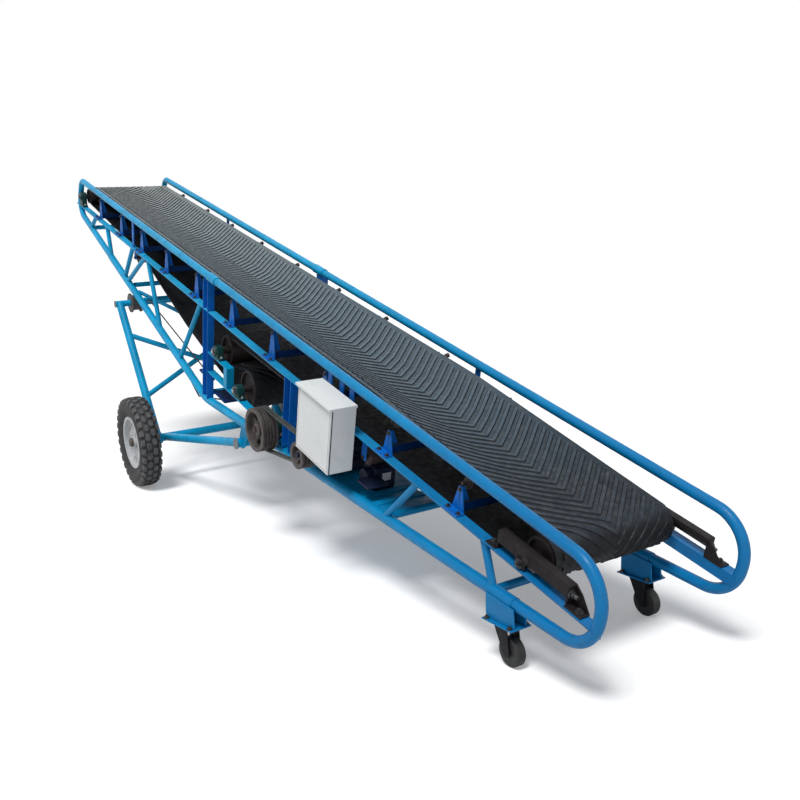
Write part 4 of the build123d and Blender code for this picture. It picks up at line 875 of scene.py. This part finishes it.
# The motor's terminal box, the slab beside it and their blank plate
form = Form()
form.block((4870, 4985), (-262, -140), (boom_n(4930) + 2, -448))
form.block((4985, 5092), (-372, -250), (-488, -476))
form.bar((4928, -300, -505), (4928, -262, -505), 42, 28)
form.finish("terminal_box", MOTOR, bevel=5)
form = Form()
form.block((4985, 4987), (-222, -170), (-522, -478))
form.finish("blank_plate", SILVER, bevel=0.5)

# The undercarriage's rope with its hook and guide plates
HOOK = (2238, -356, boom_n(2238) - 24)
ROPE_RADIUS = 5
ROPE_BEND = (2732, -330, -970)
ROPE_RUNS = (
    ((1625, -330, boom_n(1625) + 24), (2825, -330, -722)),
    (HOOK, ROPE_BEND),
    (ROPE_BEND, (3230, -330, -794)),
)
form = Form()
for start, end in ROPE_RUNS:
    form.bar(start, end, ROPE_RADIUS, 10)
form.finish("guy_rope", TYRE)
form = Form()
form.block((2815, 3006), (-360, -322), (-742, -726))
form.block((3070, 3260), (-358, -250), (-800, -786))
form.block((HOOK[0] - 14, HOOK[0] + 14), (-372, -350), (HOOK[2] - 8, HOOK[2] + 18))
form.finish("guy_plates", NAVY_AND_SHADE, bevel=1)

# Lugs under the booms that hold the undercarriage's pivot
PIVOT = (3534, -958)
form = Form()
outline = [(PIVOT[0] + 10, boom_n(PIVOT[0] + 10)), (PIVOT[0] + 150, boom_n(PIVOT[0] + 150))]
outline += half_circle(PIVOT, 40, 20, -1)
form.side_prism(outline, -353, -339)
form.mirror()
form.finish("pivot_lugs", AZURE, ("pivot_plates",), bevel=1.5)

# Castor saddles with their bolts
CASTOR_S = 6167
CASTOR_X = (DECK @ (Vector((CASTOR_S, 0, boom_n(CASTOR_S))) * MM)).x
# Sizes of the saddles and the bolts' places, in metres in the row's frame
CASTOR_TOP = 0.178
SADDLE_HALF = 0.088
FOOT_HALF = 0.093
FOOT_WALL = 0.006
FROM_ROW = DECK.inverted()


def from_row(x, z):
    """The (s, n) of a point given in the row's frame, in metres."""
    point = FROM_ROW @ Vector((x, 0, z)) / MM
    return (point.x, point.z)


form = Form()
low_s, high_s = CASTOR_S - 82, CASTOR_S + 88
side_plate = (
    from_row(CASTOR_X - SADDLE_HALF, CASTOR_TOP),
    from_row(CASTOR_X + SADDLE_HALF, CASTOR_TOP),
    (high_s, boom_n(high_s) - 4),
    (low_s, boom_n(low_s) - 4),
)
for y_span in ((-413, -407), (-353, -347)):
    form.side_prism(side_plate, *y_span)
foot_plate = (
    from_row(CASTOR_X - FOOT_HALF, CASTOR_TOP - FOOT_WALL),
    from_row(CASTOR_X + FOOT_HALF, CASTOR_TOP - FOOT_WALL),
    from_row(CASTOR_X + FOOT_HALF, CASTOR_TOP),
    from_row(CASTOR_X - FOOT_HALF, CASTOR_TOP),
)
form.side_prism(foot_plate, -432, -328)
form.mirror()
form.finish("castor_saddles", AZURE, ("castor_brackets",), bevel=1)
form = Form()
level_up = DECK.to_3x3().inverted() @ Vector((0, 0, 1))
for offset in (-0.072, 0.072):
    for y in (-0.421, -0.339):
        form.bolt(FROM_ROW @ Vector((CASTOR_X + offset, y, CASTOR_TOP)) / MM, level_up, 9)
form.mirror()
form.finish("castor_bolts", ZINC)

# A thin fold round the door's face, painted as a darker grey line of shade, and a dark strip behind the
# door's edge, a painted shadow in the gap
DOOR_S = (4645, 4985)
DOOR_N = (-420, -84)
DOOR_FACE = -542.6
FOLD_INSET = 9
FOLD_WIDTH = 1.6
s0, s1 = DOOR_S[0] + FOLD_INSET, DOOR_S[1] - FOLD_INSET
n0, n1 = DOOR_N[0] + FOLD_INSET, DOOR_N[1] - FOLD_INSET
form = Form()
for s_span, n_span in (
    ((s0, s1), (n0, n0 + FOLD_WIDTH)),
    ((s0, s1), (n1 - FOLD_WIDTH, n1)),
    ((s0, s0 + FOLD_WIDTH), (n0, n1)),
    ((s1 - FOLD_WIDTH, s1), (n0, n1)),
):
    form.block(s_span, (DOOR_FACE - 0.6, DOOR_FACE + 0.3), n_span)
form.finish("door_fold", FOLD_SHADE, body="door")
form = Form()
# Painted shadow: a dark strip in the gap along the door's edge
form.block((DOOR_S[1], DOOR_S[1] + 0.9), (-537, -531.8), DOOR_N)
form.finish("door_gap_shadow", CASTOR)

# Tyres: a carcass with two rows of staggered blocks and shoulder lugs
WHEEL_CENTRE = (2341, -1452)
LUG_COUNT = 30
LUG_PITCH = math.tau / LUG_COUNT
TYRE_Y = 646
TYRE_HALF = (
    (50, 178.5), (50, 194.5), (60, 215), (72, 240), (75, 262), (73, 284), (66, 302), (52, 318), (30, 325),
)
MIDDLE_BLOCK = ((-0.30, 2), (-0.45, 18), (-0.32, 38), (0.26, 40), (0.40, 20), (0.24, 4))
SHOULDER_LUG = ((-0.36, 46), (-0.30, 71), (0.30, 71), (0.36, 46))
BLOCK_SHRINK = 0.88
CROWN_HALF = 40


def turned(corners):
    """The same corners half a turn round, for the tread's other side."""
    return [(-share, -y) for share, y in reversed(corners)]


def tread_block(tread, tyre_y, turn, corners, inner, outer):
    """A block with (turn share, y) corners, a little smaller at its outer radius."""
    middle_turn = sum(corner[0] for corner in corners) / len(corners)
    middle_y = sum(corner[1] for corner in corners) / len(corners)
    rings = []
    for radius, keep in ((inner, 1.0), (outer, BLOCK_SHRINK)):
        ring = []
        for share, y in corners:
            angle = turn + (middle_turn + (share - middle_turn) * keep) * LUG_PITCH
            across = middle_y + (y - middle_y) * keep
            drop = 0 if abs(across) < CROWN_HALF else (abs(across) - CROWN_HALF) ** 2 * 0.012
            s = WHEEL_CENTRE[0] + (radius - drop) * math.cos(angle)
            n = WHEEL_CENTRE[1] + (radius - drop) * math.sin(angle)
            ring.append((s, tyre_y + across, n))
        rings.append(ring)
    tread.skin(rings)


def make_tyre(side, sign):
    form, tread = Form(), Form()
    tyre_y = sign * TYRE_Y
    section = [*TYRE_HALF, (0, 327), *((-y, radius) for y, radius in reversed(TYRE_HALF))]
    form.lathe(*WHEEL_CENTRE, [(tyre_y + y, radius) for y, radius in section], 96)
    for index in range(LUG_COUNT):
        turn = LUG_PITCH * index
        tread_block(tread, tyre_y, turn, MIDDLE_BLOCK, 318, 334.6)
        tread_block(tread, tyre_y, turn + LUG_PITCH / 2, turned(MIDDLE_BLOCK), 318, 334.6)
        tread_block(tread, tyre_y, turn + LUG_PITCH / 2, SHOULDER_LUG, 306, 333)
        tread_block(tread, tyre_y, turn, turned(SHOULDER_LUG), 306, 333)
    form.finish(f"{side}_tyre_carcass", TYRE, (f"{side}_tyre",), f"{side}_road_wheel")
    tread.finish(f"{side}_tyre_tread", TREAD, (f"{side}_tyre",), f"{side}_road_wheel", bevel=1.5)


for side, sign in SIDES:
    make_tyre(side, sign)

# Arms of the undercarriage, from the axle to the pivot tube
PIVOT_HALF = 388
TUBE_RADIUS = 30
ARM_RADIUS = 28.5
STUB_RADIUS = 19
form = Form()
for (s, n), half, radius in (
    (WHEEL_CENTRE, 532, TUBE_RADIUS), (WHEEL_CENTRE, 706, STUB_RADIUS), (PIVOT, PIVOT_HALF, TUBE_RADIUS)
):
    form.bar((s, -half, n), (s, half, n), radius, 32)
for side in (-1, 1):
    form.bar((WHEEL_CENTRE[0], side * 440, WHEEL_CENTRE[1]), (PIVOT[0], side * 358, PIVOT[1]), ARM_RADIUS, 32)
form.finish("arm_tubes", AZURE, ("arm_frame",), "arms")

# End caps on the undercarriage's tubes and over the wheels' axle stubs
TOP_TUBE = (1467, boom_n(1467) - 88.8)
for name, (s, n), y, radius, depth, body in (
    ("top_tube_caps", TOP_TUBE, 537, 27, 5, "legs"),
    ("pivot_caps", PIVOT, PIVOT_HALF, 38, 6, "arms"),
):
    form = Form()
    form.bar((s, y, n), (s, y + depth, n), radius, 28)
    form.mirror()
    form.finish(name, CAP_GREY, body=body, bevel=1)
HUB_CAP = ((692, 33), (706, 33), (716, 25), (718, 0.5), (692, 0.5))
for side, sign in SIDES:
    form = Form()
    form.lathe(*WHEEL_CENTRE, [(sign * y, radius) for y, radius in HUB_CAP], 32)
    form.finish(f"{side}_hub_cap", IRON, body=f"{side}_road_wheel")


# Floor, background and light
def make_floor():
    floor_mesh = bpy.data.meshes.new("floor")
    reach = 60
    floor_mesh.from_pydata(
        [(-reach, -reach, 0), (reach, -reach, 0), (reach, reach, 0), (-reach, reach, 0)], [], [(0, 1, 2, 3)]
    )
    floor = bpy.data.objects.new("floor", floor_mesh)
    bpy.context.scene.collection.objects.link(floor)
    material = bpy.data.materials.new("floor")
    material.use_nodes = True
    tree = material.node_tree
    surface = tree.nodes["Principled BSDF"]
    surface.inputs["Base Color"].default_value = (0.8, 0.8, 0.8, 1)
    surface.inputs["Roughness"].default_value = 0.9
    surface.inputs["Specular IOR Level"].default_value = 0.0
    seen = tree.nodes.new("ShaderNodeLightPath")
    strength = tree.nodes.new("ShaderNodeMath")
    strength.operation = "MULTIPLY"
    tree.links.new(seen.outputs["Is Camera Ray"], strength.inputs[0])
    strength.inputs[1].default_value = 0.22
    surface.inputs["Emission Color"].default_value = WHITE
    tree.links.new(strength.outputs[0], surface.inputs["Emission Strength"])
    floor_mesh.materials.append(material)


def make_sky():
    world = bpy.data.worlds.new("studio")
    bpy.context.scene.world = world
    world.use_nodes = True
    tree = world.node_tree
    tree.nodes.clear()
    path = tree.nodes.new("ShaderNodeLightPath")
    shown = path.outputs["Is Camera Ray"]
    for ray in ("Is Transmission Ray", "Is Glossy Ray"):
        either = tree.nodes.new("ShaderNodeMath")
        either.operation = "MAXIMUM"
        tree.links.new(shown, either.inputs[0])
        tree.links.new(path.outputs[ray], either.inputs[1])
        shown = either.outputs[0]
    sky = tree.nodes.new("ShaderNodeBackground")
    sky.inputs["Color"].default_value = (0.92, 0.96, 1, 1)
    sky.inputs["Strength"].default_value = 0.32
    plain = tree.nodes.new("ShaderNodeBackground")
    plain.inputs["Color"].default_value = WHITE
    plain.inputs["Strength"].default_value = 1
    mixed = tree.nodes.new("ShaderNodeMixShader")
    tree.links.new(shown, mixed.inputs[0])
    tree.links.new(sky.outputs[0], mixed.inputs[1])
    tree.links.new(plain.outputs[0], mixed.inputs[2])
    output = tree.nodes.new("ShaderNodeOutputWorld")
    tree.links.new(mixed.outputs[0], output.inputs["Surface"])


def make_lights():
    for name, direction, strength, angle in (
        ("key_light", (-0.25, 0.4, -1), 2.75, 20),
        ("fill_light", (-0.9, 0.5, -0.35), 0.42, 50),
    ):
        lamp = bpy.data.lights.new(name, "SUN")
        lamp.energy = strength
        lamp.angle = math.radians(angle)
        holder = bpy.data.objects.new(name, lamp)
        holder.rotation_mode = "QUATERNION"
        holder.rotation_quaternion = Vector(direction).to_track_quat("-Z", "Y")
        bpy.context.scene.collection.objects.link(holder)


make_floor()
make_sky()
make_lights()
bpy.context.scene.view_settings.view_transform = "Standard"
